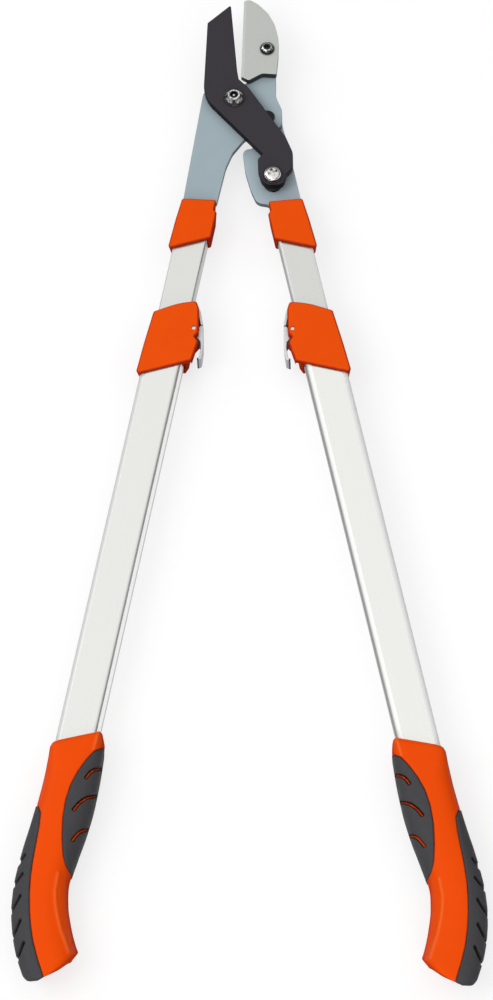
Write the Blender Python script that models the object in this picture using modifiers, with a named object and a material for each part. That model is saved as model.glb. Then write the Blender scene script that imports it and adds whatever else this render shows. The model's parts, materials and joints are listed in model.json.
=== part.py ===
"""Telescopic lopper, lying flat with its jaw towards +Y.

Drawn about the main pivot: X to the right, Y towards the jaw, Z up out of the tool's middle
plane. Each handle is drawn in a frame of its own, whose -Y runs down the handle.
"""
import math

import bmesh
import bpy
from mathutils import Matrix, Vector

MM = 0.001
WELD = 1e-6
ARC_STEP = math.radians(23)
FINE_STEP = math.radians(15)
ROUND_SIDES = 20
SMALL_SIDES = 12
FIT_GAP = 0.3 * MM

# Pivots, seen from above, from the main pivot
LINK_PIVOT = (24.6 * MM, -59.4 * MM)
FULCRUM = (21.3 * MM, -11.0 * MM)
BLADE_SCREW_AT = (21.3 * MM, 38.6 * MM)

# Motion of the head: the right arm turns further than the lever
ARM_PER_LEVER = 1.3
LEVER_CLOSE = math.radians(6.0)
LEVER_OPEN = math.radians(38.0)

# Layers of the head
ARM_PLATE_T = 4.0 * MM
LEVER_T = 5.0 * MM
BLADE_T = 4.5 * MM
PIVOT_WASHER_T = 0.8 * MM
PLATE_CHAMFER = 0.4 * MM

LEFT_PLATE_Z = (FIT_GAP / 2, FIT_GAP / 2 + ARM_PLATE_T)
RIGHT_PLATE_Z = (-FIT_GAP / 2 - ARM_PLATE_T, -FIT_GAP / 2)
PIVOT_WASHER_Z = LEFT_PLATE_Z[1] + FIT_GAP
LEVER_Z = (PIVOT_WASHER_Z + PIVOT_WASHER_T + FIT_GAP,
           PIVOT_WASHER_Z + PIVOT_WASHER_T + FIT_GAP + LEVER_T)
BLADE_Z = (LEFT_PLATE_Z[1] + FIT_GAP, LEFT_PLATE_Z[1] + FIT_GAP + BLADE_T)

# Handle axes: where each passes beside the main pivot, and its angle from the tool's middle
LEFT_AXIS_X = -7.76 * MM
RIGHT_AXIS_X = 16.74 * MM
LEFT_AXIS_ANGLE = math.radians(10.8)
RIGHT_AXIS_ANGLE = math.radians(11.6)
RIGHT_STATION_SHIFT = 1.8 * MM

# Tubes
OUTER_TUBE_W = 24.8 * MM
OUTER_TUBE_H = 18.0 * MM
OUTER_TUBE_R = 4.0 * MM
OUTER_WALL = 1.8 * MM
SLIDE_GAP = 0.4 * MM
INNER_WALL = 1.5 * MM
INNER_TUBE_W = OUTER_TUBE_W - 2 * OUTER_WALL - 2 * SLIDE_GAP
INNER_TUBE_H = OUTER_TUBE_H - 2 * OUTER_WALL - 2 * SLIDE_GAP
INNER_TUBE_R = OUTER_TUBE_R - OUTER_WALL - SLIDE_GAP
INNER_CAVITY_W = INNER_TUBE_W - 2 * INNER_WALL
INNER_CAVITY_H = INNER_TUBE_H - 2 * INNER_WALL
CAVITY_R = 0.6 * MM

# Stations down each handle axis
SLEEVE_TOP = 76.6 * MM
SLEEVE_TOP_SLOPE = 0.115
INNER_TUBE_TOP = 86.0 * MM
TANG_END = 128.0 * MM
TANG_W = 14.0 * MM
ARM_W = 21.6 * MM
GUIDE_T = 8.0 * MM
COLLAR_TOP = 159.6 * MM
OUTER_TUBE_TOP = 178.0 * MM
OUTER_TUBE_END = 538.0 * MM
INNER_TUBE_SHORT = 12.0 * MM
INNER_TUBE_END = OUTER_TUBE_END - INNER_TUBE_SHORT
CLAMP_PIN_AT = 172.6 * MM
SLANT = math.radians(26)
PIN_R = 1.5 * MM
PIN_GAP = 0.1 * MM
PIN_SUNK = 0.1 * MM
TANG_PINS_AT = (92.0 * MM, 104.0 * MM)

# Sleeves and collars
SLEEVE_WALL = 2.4 * MM
SLEEVE_LENGTH = 33.7 * MM
COLLAR_WALL = 1.9 * MM
COLLAR_LENGTH = 45.4 * MM
COLLAR_EAR_U = -14.6 * MM
COLLAR_EAR_FROM = 18.7 * MM
SOFT_EDGE = 1.6 * MM
END_LEAN = 0.25
END_LEAN_PER_MM = 0.006
CLAMP_PIN_U = -15.2 * MM
CLAMP_PIN_R = 1.3 * MM
CLAMP_LUG_R = 2.0 * MM
CLAMP_FLOOR_U = CLAMP_PIN_U + CLAMP_LUG_R + FIT_GAP
LEVER_HALF_Z = 5.6 * MM
CLAMP_SLOT_HALF_Z = 6.1 * MM
SHOE_LENGTH = 8.0 * MM
SHOE_HALF_Z = 4.0 * MM

# Grip
GRIP_AT = OUTER_TUBE_END - 78 * MM
GRIP_OFFSET = 3.2 * MM
GRIP_SHELL_POCKET = 1.5 * MM
PAD_PROUD = 0.5 * MM
GRIP_SIDES = 20
GRIP_END_SHARE = 0.6
SLIT_HALF_W = 0.6 * MM
BACK_SLIT_DEPTH = 1.1 * MM


def clear_scene():
    for scene_object in list(bpy.data.objects):
        bpy.data.objects.remove(scene_object, do_unlink=True)


def make_collection(name):
    collection = bpy.data.collections.new(name)
    bpy.context.scene.collection.children.link(collection)
    return collection


clear_scene()
PARTS = make_collection("telescopic_lopper")
CUTTERS = make_collection("cutters")
FRAMES = make_collection("frames")


def material(name, colour, roughness, metallic):
    made = bpy.data.materials.new(name)
    made.use_nodes = True
    shader = made.node_tree.nodes["Principled BSDF"]
    shader.inputs["Base Color"].default_value = (*colour, 1.0)
    shader.inputs["Roughness"].default_value = roughness
    shader.inputs["Metallic"].default_value = metallic
    return made


FINISHES = {
    "painted_plate": ((0.37, 0.45, 0.48), 0.45, 0.1),
    "black_coating": ((0.045, 0.042, 0.052), 0.5, 0.0),
    "blade_steel": ((0.50, 0.51, 0.48), 0.35, 0.6),
    "chrome": ((0.80, 0.80, 0.80), 0.18, 1.0),
    "black_steel": ((0.02, 0.02, 0.022), 0.4, 0.5),
    "zinc": ((0.55, 0.56, 0.58), 0.4, 0.8),
    "orange_plastic": ((0.80, 0.09, 0.01), 0.45, 0.0),
    "orange_grip": ((0.86, 0.10, 0.01), 0.5, 0.0),
    "aluminium": ((0.76, 0.77, 0.74), 0.35, 0.5),
    "grey_nylon": ((0.10, 0.10, 0.10), 0.5, 0.0),
    "dark_rubber": ((0.07, 0.07, 0.075), 0.8, 0.0),
}


def frame(name, parent=None, location=(0, 0, 0), turn=0.0):
    """An empty that carries a joint or a handle axis."""
    empty = bpy.data.objects.new(name, None)
    FRAMES.objects.link(empty)
    empty.parent = parent
    empty.location = location
    empty.rotation_euler = (0, 0, turn)
    return empty


def add(name, mesh, parent, finish):
    """A piece of the tool, with its own material."""
    piece = bpy.data.objects.new(name, mesh)
    PARTS.objects.link(piece)
    piece.parent = parent
    piece.data.materials.clear()
    piece.data.materials.append(material(name, *FINISHES[finish]))
    return piece


def cutter(name, mesh, parent):
    tool = bpy.data.objects.new(name, mesh)
    CUTTERS.objects.link(tool)
    tool.parent = parent
    tool.hide_render = True
    tool.display_type = 'WIRE'
    return tool


def boolean(piece, tool, operation='DIFFERENCE'):
    step = piece.modifiers.new(operation.title() + "_" + tool.name, 'BOOLEAN')
    step.operation = operation
    step.object = tool
    step.solver = 'EXACT'


def smooth(mesh):
    mesh.shade_smooth()
    mesh.set_sharp_from_angle(angle=math.radians(32))


def rounded(corners, step=ARC_STEP):
    """Corner points (x, y, radius) in order, with an arc at each rounded one."""
    points = []
    for index, (x, y, radius) in enumerate(corners):
        here = Vector((x, y))
        before = Vector(corners[index - 1][:2]) - here
        after = Vector(corners[(index + 1) % len(corners)][:2]) - here
        half = before.angle(after) / 2
        if radius < 10 * WELD or half > math.radians(89.5):
            points.append((x, y))
            continue
        reach = min(radius / math.tan(half), 0.49 * before.length, 0.49 * after.length)
        radius = reach * math.tan(half)
        before.normalize()
        after.normalize()
        centre = here + (before + after).normalized() * (radius / math.sin(half))
        start = here + before * reach - centre
        side = 1 if before.cross(after) < 0 else -1
        turn = math.pi - 2 * half
        count = max(1, math.ceil(turn / step))
        for number in range(count + 1):
            spoke = start.copy()
            spoke.rotate(Matrix.Rotation(side * turn * number / count, 2))
            points.append((centre.x + spoke.x, centre.y + spoke.y))
    return points


def box_outline(width, height, radius):
    """A rounded rectangle about the origin."""
    w, h = width / 2, height / 2
    return rounded([(w, -h, radius), (w, h, radius), (-w, h, radius), (-w, -h, radius)])


def circle(centre, radius, sides=ROUND_SIDES):
    return [(centre[0] + radius * math.cos(math.tau * k / sides),
             centre[1] + radius * math.sin(math.tau * k / sides)) for k in range(sides)]


def curve_mesh(name, loops, depth, bevel=0.0, bevel_steps=1):
    """A flat outline, with any holes, as a solid of the given depth about its own plane."""
    curve = bpy.data.curves.new(name, 'CURVE')
    curve.dimensions = '2D'
    curve.fill_mode = 'BOTH'
    curve.extrude = depth / 2 - bevel
    curve.bevel_depth = bevel
    curve.bevel_resolution = bevel_steps - 1
    curve.offset = -bevel
    for loop in loops:
        spline = curve.splines.new('POLY')
        spline.points.add(len(loop) - 1)
        for point, (x, y) in zip(spline.points, loop):
            point.co = (x, y, 0.0, 1.0)
        spline.use_cyclic_u = True
    drawn = bpy.data.objects.new(name + "_curve", curve)
    FRAMES.objects.link(drawn)
    bpy.context.view_layer.update()
    evaluated = drawn.evaluated_get(bpy.context.evaluated_depsgraph_get())
    mesh = bpy.data.meshes.new_from_object(evaluated)
    bpy.data.objects.remove(drawn, do_unlink=True)
    bpy.data.curves.remove(curve)
    tidy_mesh(mesh)
    mesh.name = name
    return mesh


def tidy_mesh(mesh):
    work = bmesh.new()
    work.from_mesh(mesh)
    bmesh.ops.remove_doubles(work, verts=work.verts, dist=WELD)
    bmesh.ops.dissolve_degenerate(work, edges=work.edges, dist=WELD)
    bmesh.ops.recalc_face_normals(work, faces=work.faces)
    work.to_mesh(mesh)
    work.free()
    smooth(mesh)


def slab(name, loops, low, high, bevel=0.0, bevel_steps=1):
    """A flat piece between two heights."""
    mesh = curve_mesh(name, loops, high - low, bevel, bevel_steps)
    mesh.transform(Matrix.Translation((0, 0, (low + high) / 2)))
    return mesh


def bar(name, loops, start, end):
    """A section, drawn across the handle and up, run down the handle between two stations."""
    mesh = curve_mesh(name, loops, end - start)
    mesh.transform(Matrix.Rotation(math.radians(90), 4, 'X'))
    mesh.transform(Matrix.Translation((0, -(start + end) / 2, 0)))
    return mesh


def rod(radius, low, high):
    """Profile of a plain round rod, for turning."""
    return [(0, high), (radius, high), (radius, low), (0, low)]


def turned(name, profile, parent, finish, at=(0, 0), sides=ROUND_SIDES):
    """A profile of (radius, height), listed top to bottom, turned about its axis."""
    mesh = bpy.data.meshes.new(name)
    points = [(radius, 0, height) for radius, height in profile]
    edges = [(k, k + 1) for k in range(len(points) - 1)]
    if profile[0][0] > 0:
        edges.append((len(points) - 1, 0))
    mesh.from_pydata(points, edges, [])
    piece = add(name, mesh, parent, finish)
    piece.location = (at[0], at[1], 0)
    screw = piece.modifiers.new("Turn", 'SCREW')
    screw.steps = sides
    screw.render_steps = sides
    screw.use_merge_vertices = True
    screw.merge_threshold = WELD
    screw.use_smooth_shade = True
    return piece


def hole(piece, at, radius, parent, name, sides=ROUND_SIDES, half_depth=40 * MM):
    """A round hole along Z through a flat piece."""
    tool = cutter(name, slab(name, [circle(at, radius, sides)], -half_depth, half_depth), parent)
    boolean(piece, tool)


def hexagon(centre, across_flats):
    return circle(centre, across_flats / math.sqrt(3), 6)


def star(centre, outer, inner, lobes=6):
    return [(centre[0] + r * math.cos(math.pi * k / lobes),
             centre[1] + r * math.sin(math.pi * k / lobes))
            for k in range(2 * lobes) for r in [outer if k % 2 == 0 else inner]]


def spin(point, centre, angle):
    """A point turned about a centre, anticlockwise."""
    x, y = point[0] - centre[0], point[1] - centre[1]
    c, s = math.cos(angle), math.sin(angle)
    return (centre[0] + c * x - s * y, centre[1] + s * x + c * y)


def band_outline(path, half_width, end_points=7):
    """The outline of a slot of constant width along a path, with round ends."""
    points = [Vector(p) for p in path]
    left, right = [], []
    for index, here in enumerate(points):
        ahead = points[min(index + 1, len(points) - 1)] - points[max(index - 1, 0)]
        ahead.normalize()
        normal = Vector((-ahead.y, ahead.x)) * half_width
        left.append(here + normal)
        right.append(here - normal)
    ends = []
    for here, spoke in ((points[-1], left[-1] - points[-1]), (points[0], right[0] - points[0])):
        arc = []
        for number in range(1, end_points + 1):
            turned_spoke = spoke.copy()
            turned_spoke.rotate(Matrix.Rotation(-math.pi * number / (end_points + 1), 2))
            arc.append(here + turned_spoke)
        ends.append(arc)
    outline = left + ends[0] + right[::-1] + ends[1]
    return [(p.x, p.y) for p in outline]


# Frames: the root, the moving bodies' pivots and the handle axes
TOOL = frame("tool")
LEVER_FRAME = frame("anvil_lever_pivot", TOOL)
ARM_FRAME = frame("right_arm_pivot", TOOL, (*FULCRUM, 0))


class Side:
    """One handle: its names, its frames and which way outward is."""

    def __init__(self, name, sign, axis_x, angle, shift, plate_z, carrier, carrier_at):
        self.name = name
        self.sign = sign
        self.shift = shift
        self.axis_x = axis_x
        self.turn = sign * angle
        self.plate_z = plate_z
        self.grip_at = GRIP_AT + sign * GRIP_OFFSET
        start = (axis_x - carrier_at[0], -carrier_at[1], 0)
        self.axis = frame(name + "_handle_axis", carrier, start, self.turn)
        self.telescope = frame(name + "_telescope", self.axis)
        pin = (sign * CLAMP_PIN_U, -(CLAMP_PIN_AT + shift), 0)
        self.clamp = frame(name + "_clamp_pivot", self.telescope, pin)

    def down(self, station, outward):
        """Handle-frame point at a station down the handle and a distance outward."""
        return (self.sign * outward, -(station + self.shift))

    def on_head(self, station, outward):
        """The same point seen from the main pivot."""
        x, y = self.down(station, outward)
        c, s = math.cos(self.turn), math.sin(self.turn)
        return (self.axis_x + c * x - s * y, s * x + c * y)

    def outline(self, corners):
        """Corners (outward, station, radius) as rounded handle-frame points."""
        return rounded([(*self.down(station, outward), radius)
                        for outward, station, radius in corners])

    def rectangle(self, inner, outer, top, bottom, radius=0.0):
        """A rectangle between two distances outward and two stations."""
        return self.outline([(inner, top, radius), (outer, top, radius), (outer, bottom, radius),
                             (inner, bottom, radius)])


LEFT = Side("left", -1, LEFT_AXIS_X, LEFT_AXIS_ANGLE, 0.0, LEFT_PLATE_Z, TOOL, (0, 0))
RIGHT = Side("right", 1, RIGHT_AXIS_X, RIGHT_AXIS_ANGLE, RIGHT_STATION_SHIFT, RIGHT_PLATE_Z,
             ARM_FRAME, FULCRUM)
SIDES = (LEFT, RIGHT)


def in_mm(corners):
    return [(x * MM, y * MM, radius * MM) for x, y, radius in corners]


def sleeve_top(outward):
    """Station of the sleeve's upper edge, which rises a little towards the inner side."""
    return SLEEVE_TOP + SLEEVE_TOP_SLOPE * outward


def tang_corners(side):
    """The arm's straight end: shoulders on the sleeve's mouth, then the narrow tang."""
    half_arm, half_tang = ARM_W / 2, TANG_W / 2
    inner = [(sleeve_top(-half_arm) - FIT_GAP, -half_arm, 0.6 * MM),
             (sleeve_top(-half_tang) - FIT_GAP, -half_tang, 0.8 * MM), (TANG_END, -half_tang, 2 * MM)]
    outer = [(TANG_END, half_tang, 2 * MM), (sleeve_top(half_tang) - FIT_GAP, half_tang, 0.8 * MM),
             (sleeve_top(half_arm) - FIT_GAP, half_arm, 0.6 * MM)]
    return [(*side.on_head(station, outward), radius) for station, outward, radius in inner + outer]


def make_left_plate():
    """Blade holder, main pivot eye, fulcrum eye and left tang in one plate."""
    fx, fy = FULCRUM
    lobe = 9.3 * MM
    holder = in_mm([(-20.2, 8.0, 8), (-15.0, 14.5, 9), (-2.0, 14.8, 8), (7.5, 15.0, 4), (12.0, 21.0, 4),
                    (11.5, 58.0, 4), (19.5, 60.5, 6), (26.0, 48.0, 12), (26.8, 22.0, 6),
                    (26.7, 4.6, 14)])
    eye = [(fx + lobe, fy + 0.6 * lobe, 8 * MM), (fx + lobe, fy - lobe, lobe),
           (fx - 3 * MM, fy - lobe, lobe)]
    inner_edge = in_mm([(6.5, -27.5, 12), (-1.2, -38.0, 14), (-5.4, -48.5, 40)])
    outline = rounded(holder + eye + inner_edge + tang_corners(LEFT), FINE_STEP)
    plate = add("left_arm_plate", slab("left_arm_plate", [outline], *LEFT_PLATE_Z, PLATE_CHAMFER),
                TOOL, "painted_plate")
    return plate


def make_right_plate():
    """The moving arm: fulcrum eye, cam slot for the link screw, and right tang."""
    fx, fy = FULCRUM
    lobe = 9.3 * MM
    eye = [(fx + lobe, fy - 4 * MM, 30 * MM), (fx + lobe, fy + lobe, lobe), (fx - lobe, fy + lobe, lobe),
           (fx - lobe, fy - 5 * MM, 6 * MM)]
    inner_edge = in_mm([(13.6, -31.8, 4), (5.0, -32.6, 6.5), (6.9, -50.0, 30), (10.6, -64.0, 30),
                        (14.2, -73.2, 6), (21.0, -74.6, 3)])
    outer_edge = in_mm([(37.0, -44.0, 60), (33.3, -25.0, 60)])
    tang = tang_corners(RIGHT)[1:]
    outline = rounded(eye + inner_edge + tang + outer_edge, FINE_STEP)
    own = [(x - fx, y - fy) for x, y in outline]
    plate = add("right_arm_plate", slab("right_arm_plate", [own], *RIGHT_PLATE_Z, PLATE_CHAMFER),
                ARM_FRAME, "painted_plate")
    return plate


def slot_path():
    """The link pivot's way over the right arm, from past shut to past open."""
    margin = math.radians(1.0)
    steps = 14
    path = []
    for number in range(steps + 1):
        turn = -LEVER_CLOSE - margin + (LEVER_CLOSE + LEVER_OPEN + 2 * margin) * number / steps
        pin = spin(LINK_PIVOT, (0, 0), turn)
        seen = spin(pin, FULCRUM, -ARM_PER_LEVER * turn)
        path.append((seen[0] - FULCRUM[0], seen[1] - FULCRUM[1]))
    return path


LEVER_OUTLINE = in_mm([
    (-2.2, 72.4, 0.8), (-17.3, 58.6, 1.2), (-19.9, 1.6, 24), (18.2, -43.0, 0.5), (15.2, -46.8, 3),
    (15.4, -55.5, 8), (18.2, -66.8, 7), (31.6, -66.8, 7), (33.4, -58.6, 4), (37.7, -54.0, 6),
    (37.6, -42.0, 12), (33.2, -30.4, 12), (9.5, 7.7, 3), (2.9, 14.8, 1.0), (1.9, 21.5, 30)])
BLADE_OUTLINE = in_mm([
    (6.3, 76.6, 0.8), (10.2, 77.0, 3), (15.4, 73.6, 12), (21.7, 66.6, 14), (26.2, 57.6, 18),
    (28.7, 46.0, 24), (28.5, 33.0, 30), (27.2, 18.9, 0.8), (17.9, 19.8, 5), (9.3, 14.6, 1.5),
    (4.4, 17.6, 1.0)])

RECESS_TURN = math.radians(22)
MAIN_SHANK_R = 4.0 * MM
LINK_SHANK_R = 3.0 * MM
FULCRUM_SHANK_R = 3.5 * MM
BLADE_SHANK_R = 2.9 * MM
BORE_GAP = 0.1 * MM
SLOT_GAP = 0.2 * MM
NUT_T = 5.0 * MM
WASHER_T = 1.0 * MM


def nut(name, at, across, top, parent, finish, bore):
    """A plain hexagon nut below a given height."""
    corner = 0.6 * MM
    outline = hexagon((0, 0), across)
    mesh = slab(name, [outline], top - NUT_T, top, corner)
    piece = add(name, mesh, parent, finish)
    piece.location = (at[0], at[1], 0)
    hole(piece, at, bore + BORE_GAP, parent, name + "_bore")
    return piece


def ring(name, at, outer, bore, low, high, parent, finish, edge=0.0):
    """A washer or spacer, with softened rims where an edge is given."""
    rims = [(outer, high), (outer, low)]
    if edge > 0:
        rims = [(outer - edge, high), (outer, high - edge), (outer, low + edge), (outer - edge, low)]
    return turned(name, rims + [(bore + BORE_GAP, low), (bore + BORE_GAP, high)], parent, finish, at)


def make_head():
    left_plate = make_left_plate()
    right_plate = make_right_plate()
    hole(left_plate, (0, 0), MAIN_SHANK_R + BORE_GAP, TOOL, "main_bore_cut")
    hole(left_plate, FULCRUM, FULCRUM_SHANK_R + BORE_GAP, TOOL, "fulcrum_bore_cut")
    hole(left_plate, BLADE_SCREW_AT, BLADE_SHANK_R + BORE_GAP, TOOL, "blade_bore_cut")
    hole(right_plate, (0, 0), FULCRUM_SHANK_R + BORE_GAP, ARM_FRAME, "arm_bore_cut")
    slot = slab("cam_slot_cut", [band_outline(slot_path(), LINK_SHANK_R + SLOT_GAP)], -20 * MM, 20 * MM)
    boolean(right_plate, cutter("cam_slot_cut", slot, ARM_FRAME))

    lever = add("anvil_lever", slab("anvil_lever", [rounded(LEVER_OUTLINE, FINE_STEP)], *LEVER_Z,
                                    PLATE_CHAMFER), LEVER_FRAME, "black_coating")
    hole(lever, (0, 0), MAIN_SHANK_R + BORE_GAP, LEVER_FRAME, "lever_main_bore_cut")
    hole(lever, LINK_PIVOT, LINK_SHANK_R + BORE_GAP, LEVER_FRAME, "lever_link_bore_cut")

    blade_mesh = slab("blade", [rounded(BLADE_OUTLINE, FINE_STEP)], *BLADE_Z)
    blade = add("blade", blade_mesh, TOOL, "blade_steel")
    hole(blade, BLADE_SCREW_AT, BLADE_SHANK_R + BORE_GAP, TOOL, "blade_hole_cut")
    hone_blade(blade)

    make_main_pivot()
    make_fulcrum()
    make_link()
    make_blade_screw()


def hone_blade(blade):
    """Two flat bevels that leave the cutting edge in the middle of the blade."""
    top, bottom = Vector((6.3, 76.6)) * MM, Vector((4.4, 17.6)) * MM
    land, bevel_w, reach = 0.25 * MM, 4.0 * MM, 12 * MM
    middle = (BLADE_Z[0] + BLADE_Z[1]) / 2
    along = (top - bottom).normalized()
    across = Vector((along.y, -along.x))
    length = (top - bottom).length
    slope = (BLADE_T / 2 - land) / bevel_w
    for name, way in (("blade_front_bevel_cut", 1), ("blade_back_bevel_cut", -1)):
        outline = [(-reach, way * (land - slope * reach)), (-reach, way * reach),
                   (2 * bevel_w, way * reach), (2 * bevel_w, way * (land + slope * 2 * bevel_w))]
        if way < 0:
            outline.reverse()
        mesh = curve_mesh(name, [outline], 1.6 * length)
        turn = Matrix(((across.x, 0, along.x, bottom.x + along.x * length / 2),
                       (across.y, 0, along.y, bottom.y + along.y * length / 2),
                       (0, 1, 0, middle),
                       (0, 0, 0, 1)))
        mesh.transform(turn)
        tidy_mesh(mesh)
        boolean(blade, cutter(name, mesh, TOOL))


def make_main_pivot():
    seat = LEVER_Z[1] + FIT_GAP
    flange_r, neck_r, top_r = 6.8 * MM, 5.2 * MM, 3.9 * MM
    flange_t, head_t = 1.0 * MM, 4.0 * MM
    end = LEFT_PLATE_Z[0] - FIT_GAP - NUT_T - 1.2 * MM
    bolt = turned("main_pivot_bolt", [
        (0, seat + head_t), (top_r - 0.6 * MM, seat + head_t), (top_r, seat + head_t - 0.5 * MM),
        (neck_r, seat + flange_t + 0.4 * MM), (flange_r - 0.3 * MM, seat + flange_t),
        (flange_r, seat + flange_t / 2), (flange_r - 0.2 * MM, seat), (MAIN_SHANK_R, seat),
        (MAIN_SHANK_R, end + 0.8 * MM), (MAIN_SHANK_R - 0.8 * MM, end), (0, end)],
        TOOL, "black_steel")
    socket = slab("main_socket_cut", [hexagon((0, 0), 4.6 * MM)], seat + head_t - 2.6 * MM,
                  seat + head_t + 2 * MM)
    boolean(bolt, cutter("main_socket_cut", socket, TOOL))
    ring("main_pivot_washer", (0, 0), 8.5 * MM, MAIN_SHANK_R, PIVOT_WASHER_Z,
         PIVOT_WASHER_Z + PIVOT_WASHER_T, TOOL, "zinc")
    nut("main_pivot_nut", (0, 0), 13 * MM, LEFT_PLATE_Z[0] - FIT_GAP, TOOL, "zinc", MAIN_SHANK_R)


def make_fulcrum():
    """Low round head in front, beside and under the lever; a peened head behind."""
    head_r, head_t, peen_r, peen_t = 4.6 * MM, PIVOT_WASHER_T, 4.8 * MM, 1.3 * MM
    seat = LEFT_PLATE_Z[1] + FIT_GAP
    washer_top = RIGHT_PLATE_Z[0] - FIT_GAP
    peen_top = washer_top - WASHER_T - FIT_GAP
    turned("fulcrum_pin", [
        (0, seat + head_t), (head_r - 0.4 * MM, seat + head_t), (head_r, seat + head_t - 0.3 * MM),
        (head_r, seat), (FULCRUM_SHANK_R, seat), (FULCRUM_SHANK_R, peen_top), (peen_r, peen_top),
        (peen_r - 0.8 * MM, peen_top - peen_t), (0, peen_top - peen_t)], TOOL, "black_steel", FULCRUM)
    ring("fulcrum_washer", FULCRUM, 7.0 * MM, FULCRUM_SHANK_R, washer_top - WASHER_T, washer_top,
         TOOL, "zinc")


def make_link():
    """Screw, spacer, washers and nut that join the lever's tail to the cam slot."""
    ring_t = 0.8 * MM
    ring_low = LEVER_Z[1] + FIT_GAP
    seat = ring_low + ring_t + FIT_GAP
    head_r, head_t = 5.4 * MM, 2.4 * MM
    washer_top = RIGHT_PLATE_Z[0] - FIT_GAP
    nut_top = washer_top - WASHER_T - FIT_GAP
    end = nut_top - NUT_T - 1.0 * MM
    screw = turned("link_screw", [
        (0, seat + head_t), (head_r - 1.9 * MM, seat + head_t),
        (head_r - 0.7 * MM, seat + head_t - 0.8 * MM), (head_r, seat + head_t - 1.7 * MM), (head_r, seat),
        (LINK_SHANK_R, seat), (LINK_SHANK_R, end + 0.6 * MM), (LINK_SHANK_R - 0.6 * MM, end), (0, end)],
        LEVER_FRAME, "chrome", LINK_PIVOT)
    wing, width = 2.9 * MM, 0.75 * MM
    cross = [(wing, -width), (wing, width), (width, width), (width, wing), (-width, wing),
             (-width, width), (-wing, width), (-wing, -width), (-width, -width), (-width, -wing),
             (width, -wing), (width, -width)]
    recess = slab("link_recess_cut", [cross], seat + head_t - 1.6 * MM, seat + head_t + 2 * MM)
    recess.transform(Matrix.Translation((*LINK_PIVOT, 0)) @ Matrix.Rotation(RECESS_TURN, 4, 'Z'))
    boolean(screw, cutter("link_recess_cut", recess, LEVER_FRAME))
    ring("link_head_washer", LINK_PIVOT, 6.5 * MM, LINK_SHANK_R, ring_low, ring_low + ring_t,
         LEVER_FRAME, "black_steel")
    ring("link_spacer", LINK_PIVOT, 6.0 * MM, LINK_SHANK_R, RIGHT_PLATE_Z[1] + FIT_GAP,
         LEVER_Z[0] - FIT_GAP, LEVER_FRAME, "black_steel", 0.5 * MM)
    ring("link_washer", LINK_PIVOT, 7.0 * MM, LINK_SHANK_R, washer_top - WASHER_T, washer_top,
         LEVER_FRAME, "zinc")
    nut("link_nut", LINK_PIVOT, 10 * MM, nut_top, LEVER_FRAME, "zinc", LINK_SHANK_R)


def make_blade_screw():
    seat = BLADE_Z[1] + FIT_GAP
    head_r, head_t = 4.9 * MM, 2.4 * MM
    nut_top = LEFT_PLATE_Z[0] - FIT_GAP
    end = nut_top - NUT_T - 0.8 * MM
    screw = turned("blade_screw", [
        (0, seat + head_t), (head_r - 1.8 * MM, seat + head_t),
        (head_r - 0.5 * MM, seat + head_t - 0.9 * MM), (head_r, seat + head_t - 1.8 * MM),
        (head_r, seat), (BLADE_SHANK_R, seat),
        (BLADE_SHANK_R, end + 0.5 * MM), (BLADE_SHANK_R - 0.5 * MM, end), (0, end)],
        TOOL, "black_steel", BLADE_SCREW_AT)
    socket = slab("blade_socket_cut", [star(BLADE_SCREW_AT, 2.6 * MM, 1.9 * MM)],
                  seat + head_t - 1.6 * MM, seat + head_t + 2 * MM)
    boolean(screw, cutter("blade_socket_cut", socket, TOOL))
    nut("blade_nut", BLADE_SCREW_AT, 10 * MM, nut_top, TOOL, "zinc", BLADE_SHANK_R)


def slanted(station, outward):
    """A station moved along the slanted cut, which runs up towards the inner side."""
    return station + outward * math.tan(SLANT)


def lean_end(mesh, side, start, half_h):
    """Lean a slanted lower end, so that it draws back towards the head behind."""
    for vertex in mesh.vertices:
        station = -vertex.co.y - side.shift
        if station > start:
            outward = side.sign * vertex.co.x
            vertex.co.y += (END_LEAN + END_LEAN_PER_MM * outward / MM) * (half_h - vertex.co.z)
    smooth(mesh)


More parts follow.
